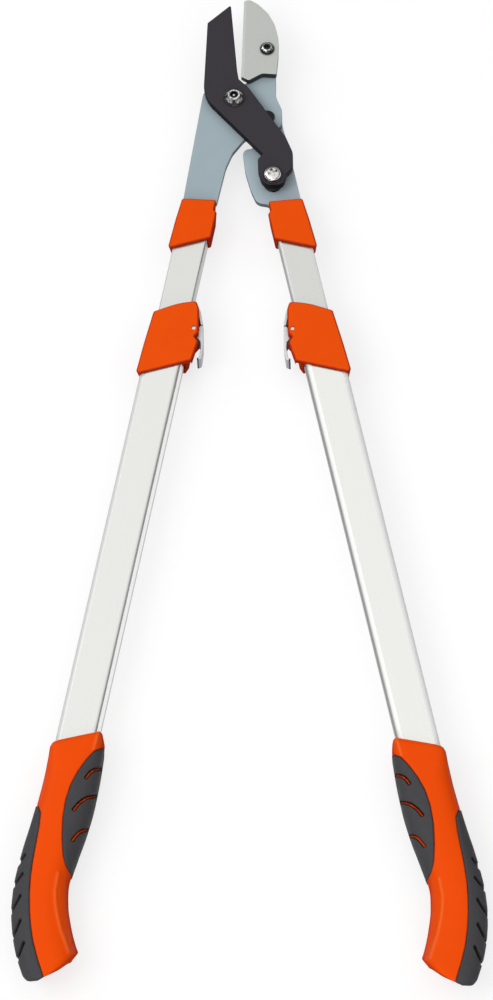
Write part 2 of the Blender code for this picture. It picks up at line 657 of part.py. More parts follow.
def make_arm_joint(side):
    """Inner tube on the tang, with packing, pins and the head sleeve over them."""
    shift = side.shift
    tube_loops = [box_outline(INNER_TUBE_W, INNER_TUBE_H, INNER_TUBE_R),
                  box_outline(INNER_CAVITY_W, INNER_CAVITY_H, CAVITY_R)]
    tube_name = side.name + "_inner_tube"
    tube_mesh = bar(tube_name, tube_loops, INNER_TUBE_TOP + shift, INNER_TUBE_END + shift)
    tube = add(tube_name, tube_mesh, side.axis, "aluminium")

    if side is LEFT:
        low, high = FIT_GAP - INNER_CAVITY_H / 2, side.plate_z[0] - FIT_GAP
    else:
        low, high = side.plate_z[1] + FIT_GAP, INNER_CAVITY_H / 2 - FIT_GAP
    half = INNER_CAVITY_W / 2 - FIT_GAP
    packing = side.rectangle(-half, half, INNER_TUBE_TOP + FIT_GAP, TANG_END, 1 * MM)
    insert_name = side.name + "_tang_insert"
    insert = add(insert_name, slab(insert_name, [packing], low, high), side.axis, "grey_nylon")

    pin_top = INNER_TUBE_H / 2 - PIN_SUNK
    plate = bpy.data.objects[side.name + "_arm_plate"]
    for number, station in enumerate(TANG_PINS_AT, start=1):
        at = side.down(station, 0)
        name = "%s_tang_pin_%d" % (side.name, number)
        turned(name, rod(PIN_R, -pin_top, pin_top), side.axis, "zinc", at, SMALL_SIDES)
        for piece in (tube, insert, plate):
            cut_name = "%s_in_%s" % (name, piece.name)
            hole(piece, at, PIN_R + PIN_GAP, side.axis, cut_name, SMALL_SIDES)

    make_sleeve(side)
    guide_room = 2 * MM
    guide = [box_outline(INNER_TUBE_W, INNER_TUBE_H, INNER_TUBE_R),
             box_outline(INNER_CAVITY_W - guide_room, INNER_CAVITY_H - guide_room, CAVITY_R)]
    start = INNER_TUBE_END + FIT_GAP + shift
    guide_name = side.name + "_tube_guide"
    add(guide_name, bar(guide_name, guide, start, start + GUIDE_T), side.axis, "grey_nylon")


def make_sleeve(side):
    """Moulding over the joint of tang and tube, cut slanting at its lower end."""
    half_w = INNER_TUBE_W / 2 + FIT_GAP + SLEEVE_WALL
    half_h = INNER_TUBE_H / 2 + FIT_GAP + SLEEVE_WALL
    lip = 1.9 * MM
    step_at = SLEEVE_TOP + 8.0 * MM
    foot = SLEEVE_TOP + SLEEVE_LENGTH
    corners = [
        (half_w - lip, sleeve_top(half_w - lip), 1.7 * MM),
        (half_w - 0.8 * MM, SLEEVE_TOP + SLEEVE_LENGTH / 2, 30 * MM),
        (half_w, slanted(foot, half_w), SOFT_EDGE),
        (-half_w, slanted(foot, -half_w), SOFT_EDGE),
        (-half_w, step_at, SOFT_EDGE),
        (-half_w + lip, step_at - 1.8 * MM, 0.5 * MM),
        (-half_w + lip, sleeve_top(-half_w + lip), 1.7 * MM)]
    name = side.name + "_head_sleeve"
    mesh = slab(name, [side.outline(corners)], -half_h, half_h, SOFT_EDGE, 2)
    lean_end(mesh, side, SLEEVE_TOP + 0.6 * SLEEVE_LENGTH, half_h)
    sleeve = add(name, mesh, side.axis, "orange_plastic")

    room = box_outline(INNER_TUBE_W + 2 * FIT_GAP, INNER_TUBE_H + 2 * FIT_GAP, INNER_TUBE_R + FIT_GAP)
    start = INNER_TUBE_TOP - FIT_GAP + side.shift
    room_mesh = bar(name + "_tube_cut", [room], start, start + 2 * SLEEVE_LENGTH)
    boolean(sleeve, cutter(name + "_tube_cut", room_mesh, side.axis))
    mouth_half = TANG_W / 2 + FIT_GAP
    mouth = side.rectangle(-mouth_half, mouth_half, SLEEVE_TOP - 10 * MM, INNER_TUBE_TOP + 4 * MM)
    mouth_mesh = slab(name + "_mouth_cut", [mouth], side.plate_z[0] - FIT_GAP, side.plate_z[1] + FIT_GAP)
    boolean(sleeve, cutter(name + "_mouth_cut", mouth_mesh, side.axis))


def make_telescope(side):
    """Everything that slides along the inner tube: outer tube, collar, clamp and grip."""
    name = side.name + "_outer_tube"
    loops = [box_outline(OUTER_TUBE_W, OUTER_TUBE_H, OUTER_TUBE_R),
             box_outline(OUTER_TUBE_W - 2 * OUTER_WALL, OUTER_TUBE_H - 2 * OUTER_WALL,
                         OUTER_TUBE_R - OUTER_WALL)]
    mesh = bar(name, loops, OUTER_TUBE_TOP + side.shift, OUTER_TUBE_END + side.shift)
    add(name, mesh, side.telescope, "aluminium")
    make_collar(side)
    make_clamp(side)
    make_grip(side)


# Edge of the collar on the clamp's side and over its top: outward, distance below the collar's
# top, radius
COLLAR_INNER_EDGE = [
    (-18.8, 27.0, 12.0), (-18.9, 21.8, 2.0), (-16.8, 18.7, 0.6), (-18.6, 15.6, 1.2), (-17.6, 8.5, 15.0),
    (-15.4, -2.6, 4.0), (-13.0, -7.1, 1.8), (-6.0, -5.0, 20.0), (0.0, -2.5, 40.0)]


def make_collar(side):
    """Moulding over the end of the outer tube, with the clamp's housing on its inner side."""
    half_h = OUTER_TUBE_H / 2 + FIT_GAP + COLLAR_WALL
    outer = OUTER_TUBE_W / 2 + FIT_GAP
    inner_end = -17.9 * MM
    foot = COLLAR_TOP + COLLAR_LENGTH
    corners = [
        (outer - 0.4 * MM, COLLAR_TOP + 5 * MM, 2 * MM),
        (outer + 1.1 * MM, COLLAR_TOP + 30 * MM, 60 * MM),
        (outer + COLLAR_WALL, slanted(foot, outer + COLLAR_WALL), 2 * MM),
        (inner_end, slanted(foot, inner_end), 1 * MM)]
    corners += [(u * MM, COLLAR_TOP + below * MM, r * MM) for u, below, r in COLLAR_INNER_EDGE]
    name = side.name + "_clamp_collar"
    mesh = slab(name, [side.outline(corners)], -half_h, half_h, SOFT_EDGE, 2)
    lean_end(mesh, side, COLLAR_TOP + 0.8 * COLLAR_LENGTH, half_h)
    collar = add(name, mesh, side.telescope, "orange_plastic")
    pin_at = side.down(CLAMP_PIN_AT, CLAMP_PIN_U)
    hole(collar, pin_at, CLAMP_PIN_R + PIN_GAP, side.telescope, name + "_pin_cut", SMALL_SIDES)

    above, beyond = COLLAR_TOP - 20 * MM, COLLAR_TOP + 1.5 * COLLAR_LENGTH
    rooms = (("_inner_cut", INNER_TUBE_W, INNER_TUBE_H, INNER_TUBE_R, SLIDE_GAP, above),
             ("_outer_cut", OUTER_TUBE_W, OUTER_TUBE_H, OUTER_TUBE_R, FIT_GAP,
              OUTER_TUBE_TOP - FIT_GAP + side.shift))
    for cut, width, height, radius, gap, start in rooms:
        section = box_outline(width + 2 * gap, height + 2 * gap, radius + gap)
        boolean(collar, cutter(name + cut, bar(name + cut, [section], start, beyond), side.telescope))
    half_shoe = SHOE_LENGTH / 2 + FIT_GAP
    slot = side.rectangle(2 * CLAMP_PIN_U, CLAMP_FLOOR_U, above, beyond)
    window = side.rectangle(CLAMP_FLOOR_U - 2 * MM, CLAMP_FLOOR_U + 6 * MM, CLAMP_PIN_AT - half_shoe,
                            CLAMP_PIN_AT + half_shoe)
    under_ear = side.rectangle(2 * CLAMP_PIN_U, COLLAR_EAR_U, COLLAR_TOP + COLLAR_EAR_FROM, beyond)
    for cut, loop, low, high in (
            ("_slot_cut", slot, -CLAMP_SLOT_HALF_Z, CLAMP_SLOT_HALF_Z),
            ("_shoe_cut", window, -SHOE_HALF_Z - FIT_GAP, SHOE_HALF_Z + FIT_GAP),
            ("_ear_cut", under_ear, -2 * half_h, CLAMP_SLOT_HALF_Z)):
        boolean(collar, cutter(name + cut, slab(name + cut, [loop], low, high), side.telescope))


# The clamp lever's and its spring's outlines: outward and down the handle from the lever's pin
CLAMP_LEVER_EDGE = [
    (-4.6, -5.6, 0.6), (-6.2, 1.8, 40), (-7.7, 9.4, 40), (-8.1, 18.0, 1.0), (-5.7, 19.8, 0.6),
    (-5.3, 18.2, 0.4), (-6.6, 17.0, 0.8), (-6.1, 9.4, 30), (-5.0, 5.8, 1.5), (-2.8, 4.0, 0.8)]
CLAMP_LEVER_NOSE = [(-2.2, -3.4, 0.6), (-3.0, -5.6, 0.5)]
CLAMP_SPRING_EDGE = [(-0.1, -15.8, 1), (1.2, -18.2, 0.4), (0.3, -18.6, 0.4), (-1.4, -15.6, 6),
                     (-4.6, -6.4, 0.5), (-3.5, -6.2, 0.5)]


def make_clamp(side):
    """Cam lever on its pin, the shoe it presses on the inner tube, and the spring above it."""
    pin_at = side.down(CLAMP_PIN_AT, CLAMP_PIN_U)
    pin_end = OUTER_TUBE_H / 2 + FIT_GAP + COLLAR_WALL - PIN_SUNK
    pin = rod(CLAMP_PIN_R, -pin_end, pin_end)
    turned(side.name + "_lever_pin", pin, side.telescope, "chrome", pin_at, SMALL_SIDES)

    lug = [(CLAMP_LUG_R * math.cos(math.radians(angle)), CLAMP_LUG_R * math.sin(math.radians(angle)), 0)
           for angle in range(60, -61, -20)]
    corners = in_mm(CLAMP_LEVER_EDGE) + lug + in_mm(CLAMP_LEVER_NOSE)
    outline = rounded([(side.sign * u, -down, radius) for u, down, radius in corners])
    name = side.name + "_clamp_lever"
    mesh = slab(name, [outline], -LEVER_HALF_Z, LEVER_HALF_Z, 0.2 * MM)
    lever = add(name, mesh, side.clamp, "chrome")
    hole(lever, (0, 0), CLAMP_PIN_R + PIN_GAP, side.clamp, name + "_bore_cut", SMALL_SIDES)

    shoe_face = -INNER_TUBE_W / 2 - FIT_GAP
    shoe_back = CLAMP_PIN_U + CLAMP_LUG_R + FIT_GAP
    half_shoe = SHOE_LENGTH / 2
    shoe = side.rectangle(shoe_back, shoe_face, CLAMP_PIN_AT - half_shoe, CLAMP_PIN_AT + half_shoe)
    shoe_name = side.name + "_clamp_shoe"
    add(shoe_name, slab(shoe_name, [shoe], -SHOE_HALF_Z, SHOE_HALF_Z), side.telescope, "grey_nylon")

    strip = side.outline([(CLAMP_PIN_U + u, CLAMP_PIN_AT + down, radius)
                          for u, down, radius in in_mm(CLAMP_SPRING_EDGE)])
    spring_name = side.name + "_lever_spring"
    add(spring_name, slab(spring_name, [strip], -LEVER_HALF_Z, LEVER_HALF_Z), side.telescope, "chrome")


# Grip sections, from the grip's top: inner point and outer point (outward, down), how far each
# face stands over the tube's, squareness, and how far the section leans down the handle per height
GRIP_SECTIONS = [
    ((-15.4, 4.8), (13.9, 17.4), 3.8, 6.0, 0.1),
    ((-16.2, 6.8), (14.4, 19.2), 4.4, 5.5, 0.1),
    ((-17.4, 18.0), (14.2, 27.0), 4.8, 4.0, 0.05),
    ((-18.5, 34.0), (14.2, 39.0), 5.2, 3.0, 0.0),
    ((-18.8, 50.0), (14.6, 54.0), 5.6, 2.8, 0.0),
    ((-18.0, 67.0), (15.5, 71.0), 5.8, 2.6, 0.0),
    ((-16.0, 85.0), (16.8, 88.5), 5.8, 2.5, 0.0),
    ((-14.5, 102.0), (17.3, 106.5), 5.6, 2.5, 0.0),
    ((-16.8, 117.0), (15.9, 124.0), 5.6, 2.5, 0.0),
    ((-21.2, 130.5), (12.0, 140.5), 5.8, 2.5, 0.12),
    ((-25.6, 141.5), (6.0, 156.5), 6.0, 2.6, 0.3),
    ((-28.6, 149.0), (-0.4, 168.6), 6.2, 2.8, 0.45),
    ((-26.0, 154.4), (-4.0, 170.8), 6.0, 2.8, 0.45),
    ((-21.0, 160.4), (-9.0, 169.4), 5.0, 2.8, 0.45),
]


def grip_mesh(name, side, grow):
    """The grip's rounded form, made larger or smaller by one distance, and less at its ends."""
    work = bmesh.new()
    rings = []
    middles = []
    for inner, outer, over_tube, square, lean in GRIP_SECTIONS:
        half_h = OUTER_TUBE_H / 2 + over_tube * MM + grow
        a = Vector(side.down(side.grip_at + inner[1] * MM, inner[0] * MM))
        b = Vector(side.down(side.grip_at + outer[1] * MM, outer[0] * MM))
        middle = (a + b) / 2
        across = b - a
        half = across.length / 2 + grow
        across.normalize()
        verts = []
        for k in range(GRIP_SIDES):
            angle = math.tau * k / GRIP_SIDES
            c, s = math.cos(angle), math.sin(angle)
            x = math.copysign(abs(c) ** (2 / square), c) * half
            z = math.copysign(abs(s) ** (2 / square), s) * half_h
            verts.append(work.verts.new((middle.x + across.x * x, middle.y + across.y * x - lean * z, z)))
        rings.append(verts)
        middles.append(middle)
    for end, inwards in ((0, 1), (-1, -2)):
        move = (middles[end] - middles[inwards]).normalized() * (GRIP_END_SHARE * grow)
        for vertex in rings[end]:
            vertex.co += Vector((move.x, move.y, 0))
    for one, two in zip(rings, rings[1:]):
        for k in range(GRIP_SIDES):
            j = (k + 1) % GRIP_SIDES
            work.faces.new((one[k], one[j], two[j], two[k]))
    work.faces.new(rings[0])
    work.faces.new(rings[-1])
    bmesh.ops.recalc_face_normals(work, faces=work.faces)
    mesh = bpy.data.meshes.new(name)
    work.to_mesh(mesh)
    work.free()
    smooth(mesh)
    return mesh


# Borders of the two pads, from the grip's top: outward, down, radius
INNER_PAD_EDGE = [
    (-17.6, 13.0, 2), (-13, 17.8, 4), (-7.6, 27.0, 10), (-4, 38.6, 14), (-2.6, 52, 20),
    (-3.3, 65.7, 20), (-5.5, 78.3, 20), (-9.3, 89.6, 20), (-17, 99.0, 1)]
INNER_PAD_CLOSING = [(-40, 99.5, 0), (-40, 12.5, 0)]
BACK_PAD_EDGE = [
    (12.6, 59.6, 2), (9.4, 66.5, 6), (8.9, 87.6, 30), (7.8, 104.8, 30), (5.6, 120, 30),
    (0.4, 140.3, 30), (-5.8, 156.6, 20), (-14.5, 171.5, 2)]
BACK_PAD_CLOSING = [(10, 200, 0), (45, 180, 0), (45, 59, 0)]
# Paths of the slits across the pads, from the grip's top: outward, down
INNER_SLITS = [
    [(-12.8, 36.7), (-16.7, 32.5), (-26, 30)],
    [(-10.1, 59.2), (-13, 53.9), (-18.9, 50.7), (-26, 51.5)],
    [(-12.3, 79.1), (-15.2, 74.6), (-26, 71)]]
BACK_SLITS = [
    [(15.6, 92.5), (17.6, 98.5), (20.5, 107)],
    [(15.8, 105), (17.9, 112), (20.9, 122)],
    [(14.9, 119), (17.2, 127.5), (21, 141)],
    [(12.2, 135.5), (14.6, 145), (18.5, 159)],
    [(7.2, 149.5), (9.4, 160), (12.6, 175)]]


def make_grip(side):
    """Moulded shell over the end of the outer tube, with two soft pads let into it."""
    name = side.name + "_grip_shell"
    shell = add(name, grip_mesh(name, side, 0.0), side.telescope, "orange_grip")
    room = box_outline(OUTER_TUBE_W + 2 * FIT_GAP, OUTER_TUBE_H + 2 * FIT_GAP, OUTER_TUBE_R + FIT_GAP)
    room_mesh = bar(name + "_tube_cut", [room], GRIP_AT - 50 * MM, OUTER_TUBE_END + FIT_GAP + side.shift)
    boolean(shell, cutter(name + "_tube_cut", room_mesh, side.telescope))
    make_pad(side, shell, "inner_pad", INNER_PAD_EDGE + INNER_PAD_CLOSING, INNER_SLITS)
    make_pad(side, shell, "back_pad", BACK_PAD_EDGE + BACK_PAD_CLOSING, BACK_SLITS, BACK_SLIT_DEPTH)


def make_pad(side, shell, pad_name, border, slits, slit_depth=None):
    """A soft pad let into the shell: its pocket is the same outline with a gap round it.

    The slits go right through it where they have no depth of their own.
    """
    name = side.name + "_" + pad_name
    reach = 30 * MM
    outline = side.outline([(u, side.grip_at + down, radius) for u, down, radius in in_mm(border)])
    core = cutter(name + "_core", grip_mesh(name + "_core", side, -GRIP_SHELL_POCKET), side.telescope)
    pocket = cutter(name + "_pocket", slab(name + "_pocket", [outline], -reach, reach), side.telescope)
    boolean(pocket, core)
    boolean(shell, pocket)
    pad = add(name, grip_mesh(name, side, PAD_PROUD), side.telescope, "dark_rubber")
    paths = [[side.down(side.grip_at + down * MM, u * MM) for u, down in path] for path in slits]
    bands = [band_outline(path, SLIT_HALF_W, 3) for path in paths]
    slit_tool = cutter(name + "_slits", slab(name + "_slits", bands, -reach, reach), side.telescope)
    if slit_depth is not None:
        floor = grip_mesh(name + "_slit_floor", side, PAD_PROUD - slit_depth)
        boolean(slit_tool, cutter(name + "_slit_floor", floor, side.telescope))
    boolean(pad, slit_tool)
    area = slab(name + "_area", [shrink(outline, FIT_GAP)], -reach, reach)
    boolean(pad, cutter(name + "_area", area, side.telescope), 'INTERSECT')
    bed = grip_mesh(name + "_bed", side, FIT_GAP - GRIP_SHELL_POCKET)
    boolean(pad, cutter(name + "_bed", bed, side.telescope))


def shrink(loop, distance):
    """A closed outline drawn in by one distance, square to its sides."""
    area = sum(loop[k - 1][0] * loop[k][1] - loop[k][0] * loop[k - 1][1] for k in range(len(loop)))
    way = 1 if area > 0 else -1
    moved = []
    for k, here in enumerate(loop):
        point = Vector(here)
        back = (point - Vector(loop[k - 1])).normalized()
        ahead = (Vector(loop[(k + 1) % len(loop)]) - point).normalized()
        normal_back = Vector((-back.y, back.x)) * way
        normal_ahead = Vector((-ahead.y, ahead.x)) * way
        total = normal_back + normal_ahead
        point += total * (distance / (1 + normal_back.dot(normal_ahead)))
        moved.append((point.x, point.y))
    return moved


def stand_on_floor():
    """Move the whole tool so that its middle is over the origin and it rests on Z = 0."""
    bpy.context.view_layer.update()
    depsgraph = bpy.context.evaluated_depsgraph_get()
    low = Vector((1, 1, 1)) * 1e3
    high = -low
    for piece in PARTS.objects:
        evaluated = piece.evaluated_get(depsgraph)
        for vertex in evaluated.data.vertices:
            point = evaluated.matrix_world @ vertex.co
            low = Vector(map(min, low, point))
            high = Vector(map(max, high, point))
    TOOL.location = (-(low.x + high.x) / 2, -(low.y + high.y) / 2, -low.z)


make_head()
for handle in SIDES:
    make_arm_joint(handle)
    make_telescope(handle)
stand_on_floor()
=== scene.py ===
"""Looks of the telescopic lopper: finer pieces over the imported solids, materials and studio.

Every piece is drawn in metres at its resting place, and rides on the body of the node it
stands for. Handle points are given as (outward, station): the distance away from the tool's
middle line, and the distance down the handle from the main pivot.
"""
import json
import math

import bmesh
import bpy
import numpy as np
from mathutils import Matrix, Vector


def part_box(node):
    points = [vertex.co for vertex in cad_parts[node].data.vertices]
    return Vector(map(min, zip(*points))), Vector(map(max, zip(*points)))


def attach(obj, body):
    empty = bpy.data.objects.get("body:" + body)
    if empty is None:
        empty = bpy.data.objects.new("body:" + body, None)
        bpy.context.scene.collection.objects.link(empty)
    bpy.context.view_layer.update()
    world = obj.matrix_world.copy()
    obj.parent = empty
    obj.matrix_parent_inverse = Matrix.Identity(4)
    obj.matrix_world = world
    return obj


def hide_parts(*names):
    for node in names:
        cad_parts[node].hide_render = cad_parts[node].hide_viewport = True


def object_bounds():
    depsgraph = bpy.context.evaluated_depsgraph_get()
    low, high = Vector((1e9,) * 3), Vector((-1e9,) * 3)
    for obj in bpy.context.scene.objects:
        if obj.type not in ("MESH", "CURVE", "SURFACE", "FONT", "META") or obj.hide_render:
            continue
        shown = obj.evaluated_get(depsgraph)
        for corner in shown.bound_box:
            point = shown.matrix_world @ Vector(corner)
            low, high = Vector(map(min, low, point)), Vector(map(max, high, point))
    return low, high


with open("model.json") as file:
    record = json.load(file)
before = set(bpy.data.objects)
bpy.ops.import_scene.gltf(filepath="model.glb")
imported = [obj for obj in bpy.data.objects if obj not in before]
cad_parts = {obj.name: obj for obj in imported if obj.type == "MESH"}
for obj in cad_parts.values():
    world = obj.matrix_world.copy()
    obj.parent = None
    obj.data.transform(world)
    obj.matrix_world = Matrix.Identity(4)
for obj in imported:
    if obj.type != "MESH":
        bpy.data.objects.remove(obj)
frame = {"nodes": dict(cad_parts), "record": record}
CAD_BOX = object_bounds()
BODY_OF = {node: body for body, nodes in frame["record"]["behaviour"]["bodies"].items()
           for node in nodes}
SLOT_OF = {part["node"]: part["material_slot"] for part in frame["record"]["subparts"]}

MM = 0.001
WELD = 1e-6
ARC_STEP = math.radians(6)
ROUND = 64
FIT_GAP = 0.3 * MM
BORE_GAP = 0.1 * MM


def box_middle(node):
    low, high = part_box(node)
    return (low + high) / 2


PIVOT = Vector((*box_middle("main_pivot_bolt").xy, box_middle("left_inner_tube").z))
HEAD = Matrix.Translation(PIVOT)


# Mesh helpers

def finished(work):
    """The mesh that a working mesh has become."""
    mesh = bpy.data.meshes.new("made")
    work.to_mesh(mesh)
    work.free()
    return mesh


def tidy_mesh(mesh, angle=32):
    work = bmesh.new()
    work.from_mesh(mesh)
    bmesh.ops.remove_doubles(work, verts=work.verts, dist=WELD)
    bmesh.ops.dissolve_degenerate(work, edges=work.edges, dist=WELD)
    bmesh.ops.recalc_face_normals(work, faces=work.faces)
    work.to_mesh(mesh)
    work.free()
    mesh.shade_smooth()
    mesh.set_sharp_from_angle(angle=math.radians(angle))
    return mesh


def rounded(corners, step=ARC_STEP):
    """Corner points (x, y, radius) in order, with an arc at each rounded one."""
    points = []
    for index, (x, y, radius) in enumerate(corners):
        here = Vector((x, y))
        before = Vector(corners[index - 1][:2]) - here
        after = Vector(corners[(index + 1) % len(corners)][:2]) - here
        half = before.angle(after) / 2
        if radius < 10 * WELD or half > math.radians(89.5):
            points.append((x, y))
            continue
        reach = min(radius / math.tan(half), 0.49 * before.length, 0.49 * after.length)
        radius = reach * math.tan(half)
        before.normalize()
        after.normalize()
        centre = here + (before + after).normalized() * (radius / math.sin(half))
        start = here + before * reach - centre
        side = 1 if before.cross(after) < 0 else -1
        turn = math.pi - 2 * half
        count = max(1, math.ceil(turn / step))
        for number in range(count + 1):
            spoke = start.copy()
            spoke.rotate(Matrix.Rotation(side * turn * number / count, 2))
            points.append((centre.x + spoke.x, centre.y + spoke.y))
    return points


def in_mm(corners):
    return [tuple(value * MM for value in corner) for corner in corners]


def section(tube, grow=0.0):
    """A tube's outline, grown all round."""
    w, h, radius = tube[0] / 2 + grow, tube[1] / 2 + grow, tube[2] + grow
    return rounded([(w, -h, radius), (w, h, radius), (-w, h, radius), (-w, -h, radius)])


def circle(centre, radius, sides=ROUND):
    return [(centre[0] + radius * math.cos(math.tau * k / sides),
             centre[1] + radius * math.sin(math.tau * k / sides)) for k in range(sides)]


def bore(centre, shank, sides=ROUND):
    """The hole that a shank passes with a little play."""
    return circle(centre, shank + BORE_GAP, sides)


def added(name, data):
    """A new object in the scene."""
    made = bpy.data.objects.new(name, data)
    bpy.context.scene.collection.objects.link(made)
    return made


def slab(loops, low, high, bevel=0.0, bevel_steps=1):
    """A flat outline, with any holes, as a solid between two heights."""
    curve = bpy.data.curves.new("outline", 'CURVE')
    curve.dimensions = '2D'
    curve.fill_mode = 'BOTH'
    curve.extrude = (high - low) / 2 - bevel
    curve.bevel_depth = bevel
    curve.bevel_resolution = bevel_steps - 1
    curve.offset = -bevel
    for loop in loops:
        spline = curve.splines.new('POLY')
        spline.points.add(len(loop) - 1)
        for point, (x, y) in zip(spline.points, loop):
            point.co = (x, y, 0.0, 1.0)
        spline.use_cyclic_u = True
    mesh = evaluated_mesh(added("outline", curve))
    bpy.data.curves.remove(curve)
    mesh.transform(Matrix.Translation((0, 0, (low + high) / 2)))
    return tidy_mesh(mesh)


def evaluated_mesh(drawn):
    """The final mesh of a working object, which is then removed."""
    bpy.context.view_layer.update()
    evaluated = drawn.evaluated_get(bpy.context.evaluated_depsgraph_get())
    mesh = bpy.data.meshes.new_from_object(evaluated)
    bpy.data.objects.remove(drawn, do_unlink=True)
    return mesh


def bar(loops, start, end):
    """A section, drawn across the handle and up, run down the handle between two stations."""
    mesh = slab(loops, -(end - start) / 2, (end - start) / 2)
    mesh.transform(Matrix.Rotation(math.radians(90), 4, 'X'))
    mesh.transform(Matrix.Translation((0, -(start + end) / 2, 0)))
    return mesh


def cut(mesh, *tools):
    """The mesh with each tool mesh taken away from it, in order."""
    piece = added("cut", mesh)
    helpers = [added("tool", tool) for tool in tools]
    for helper in helpers:
        step = piece.modifiers.new("cut", 'BOOLEAN')
        step.operation = 'DIFFERENCE'
        step.object = helper
        step.solver = 'EXACT'
    made = evaluated_mesh(piece)
    for helper in helpers:
        bpy.data.objects.remove(helper, do_unlink=True)
    return tidy_mesh(made)


def lathe(profile, at=(0, 0), sides=ROUND, flutes=0, flute_depth=0.0, fluted=()):
    """A profile of (radius, height), top to bottom, turned about its axis. The profile points
    listed as fluted get a rim of shallow scallops."""
    work = bmesh.new()
    rings = []
    for index, (radius, height) in enumerate(profile):
        if radius < WELD:
            rings.append([work.verts.new((at[0], at[1], height))])
            continue
        ring = []
        for k in range(sides):
            angle = math.tau * k / sides
            scallop = flute_depth * (0.5 - 0.5 * math.cos(flutes * angle))
            r = radius - scallop if index in fluted else radius
            ring.append(work.verts.new((at[0] + r * math.cos(angle), at[1] + r * math.sin(angle),
                                        height)))
        rings.append(ring)
    closed = len(rings[0]) > 1
    pairs = list(zip(rings, rings[1:])) + ([(rings[-1], rings[0])] if closed else [])
    for one, two in pairs:
        for k in range(sides):
            j = (k + 1) % sides
            corners = [one[k % len(one)], one[j % len(one)], two[j % len(two)], two[k % len(two)]]
            work.faces.new(tuple(dict.fromkeys(corners)))
    return tidy_mesh(finished(work))


# Materials

def srgb(*values):
    """A colour as the photograph shows it, 0 to 255, in the renderer's own numbers."""
    shares = [value / 255 for value in values]
    return (*(v / 12.92 if v <= 0.04045 else ((v + 0.055) / 1.055) ** 2.4 for v in shares), 1.0)


def add_node(tree, kind, inputs=(), **settings):
    """A shader node with its settings, and a value or a link at each input given."""
    made = tree.nodes.new(kind)
    for key, value in settings.items():
        setattr(made, key, value)
    for key, value in dict(inputs).items():
        socket = made.inputs[key]
        if isinstance(value, bpy.types.NodeSocket):
            tree.links.new(value, socket)
        else:
            socket.default_value = value
    return made


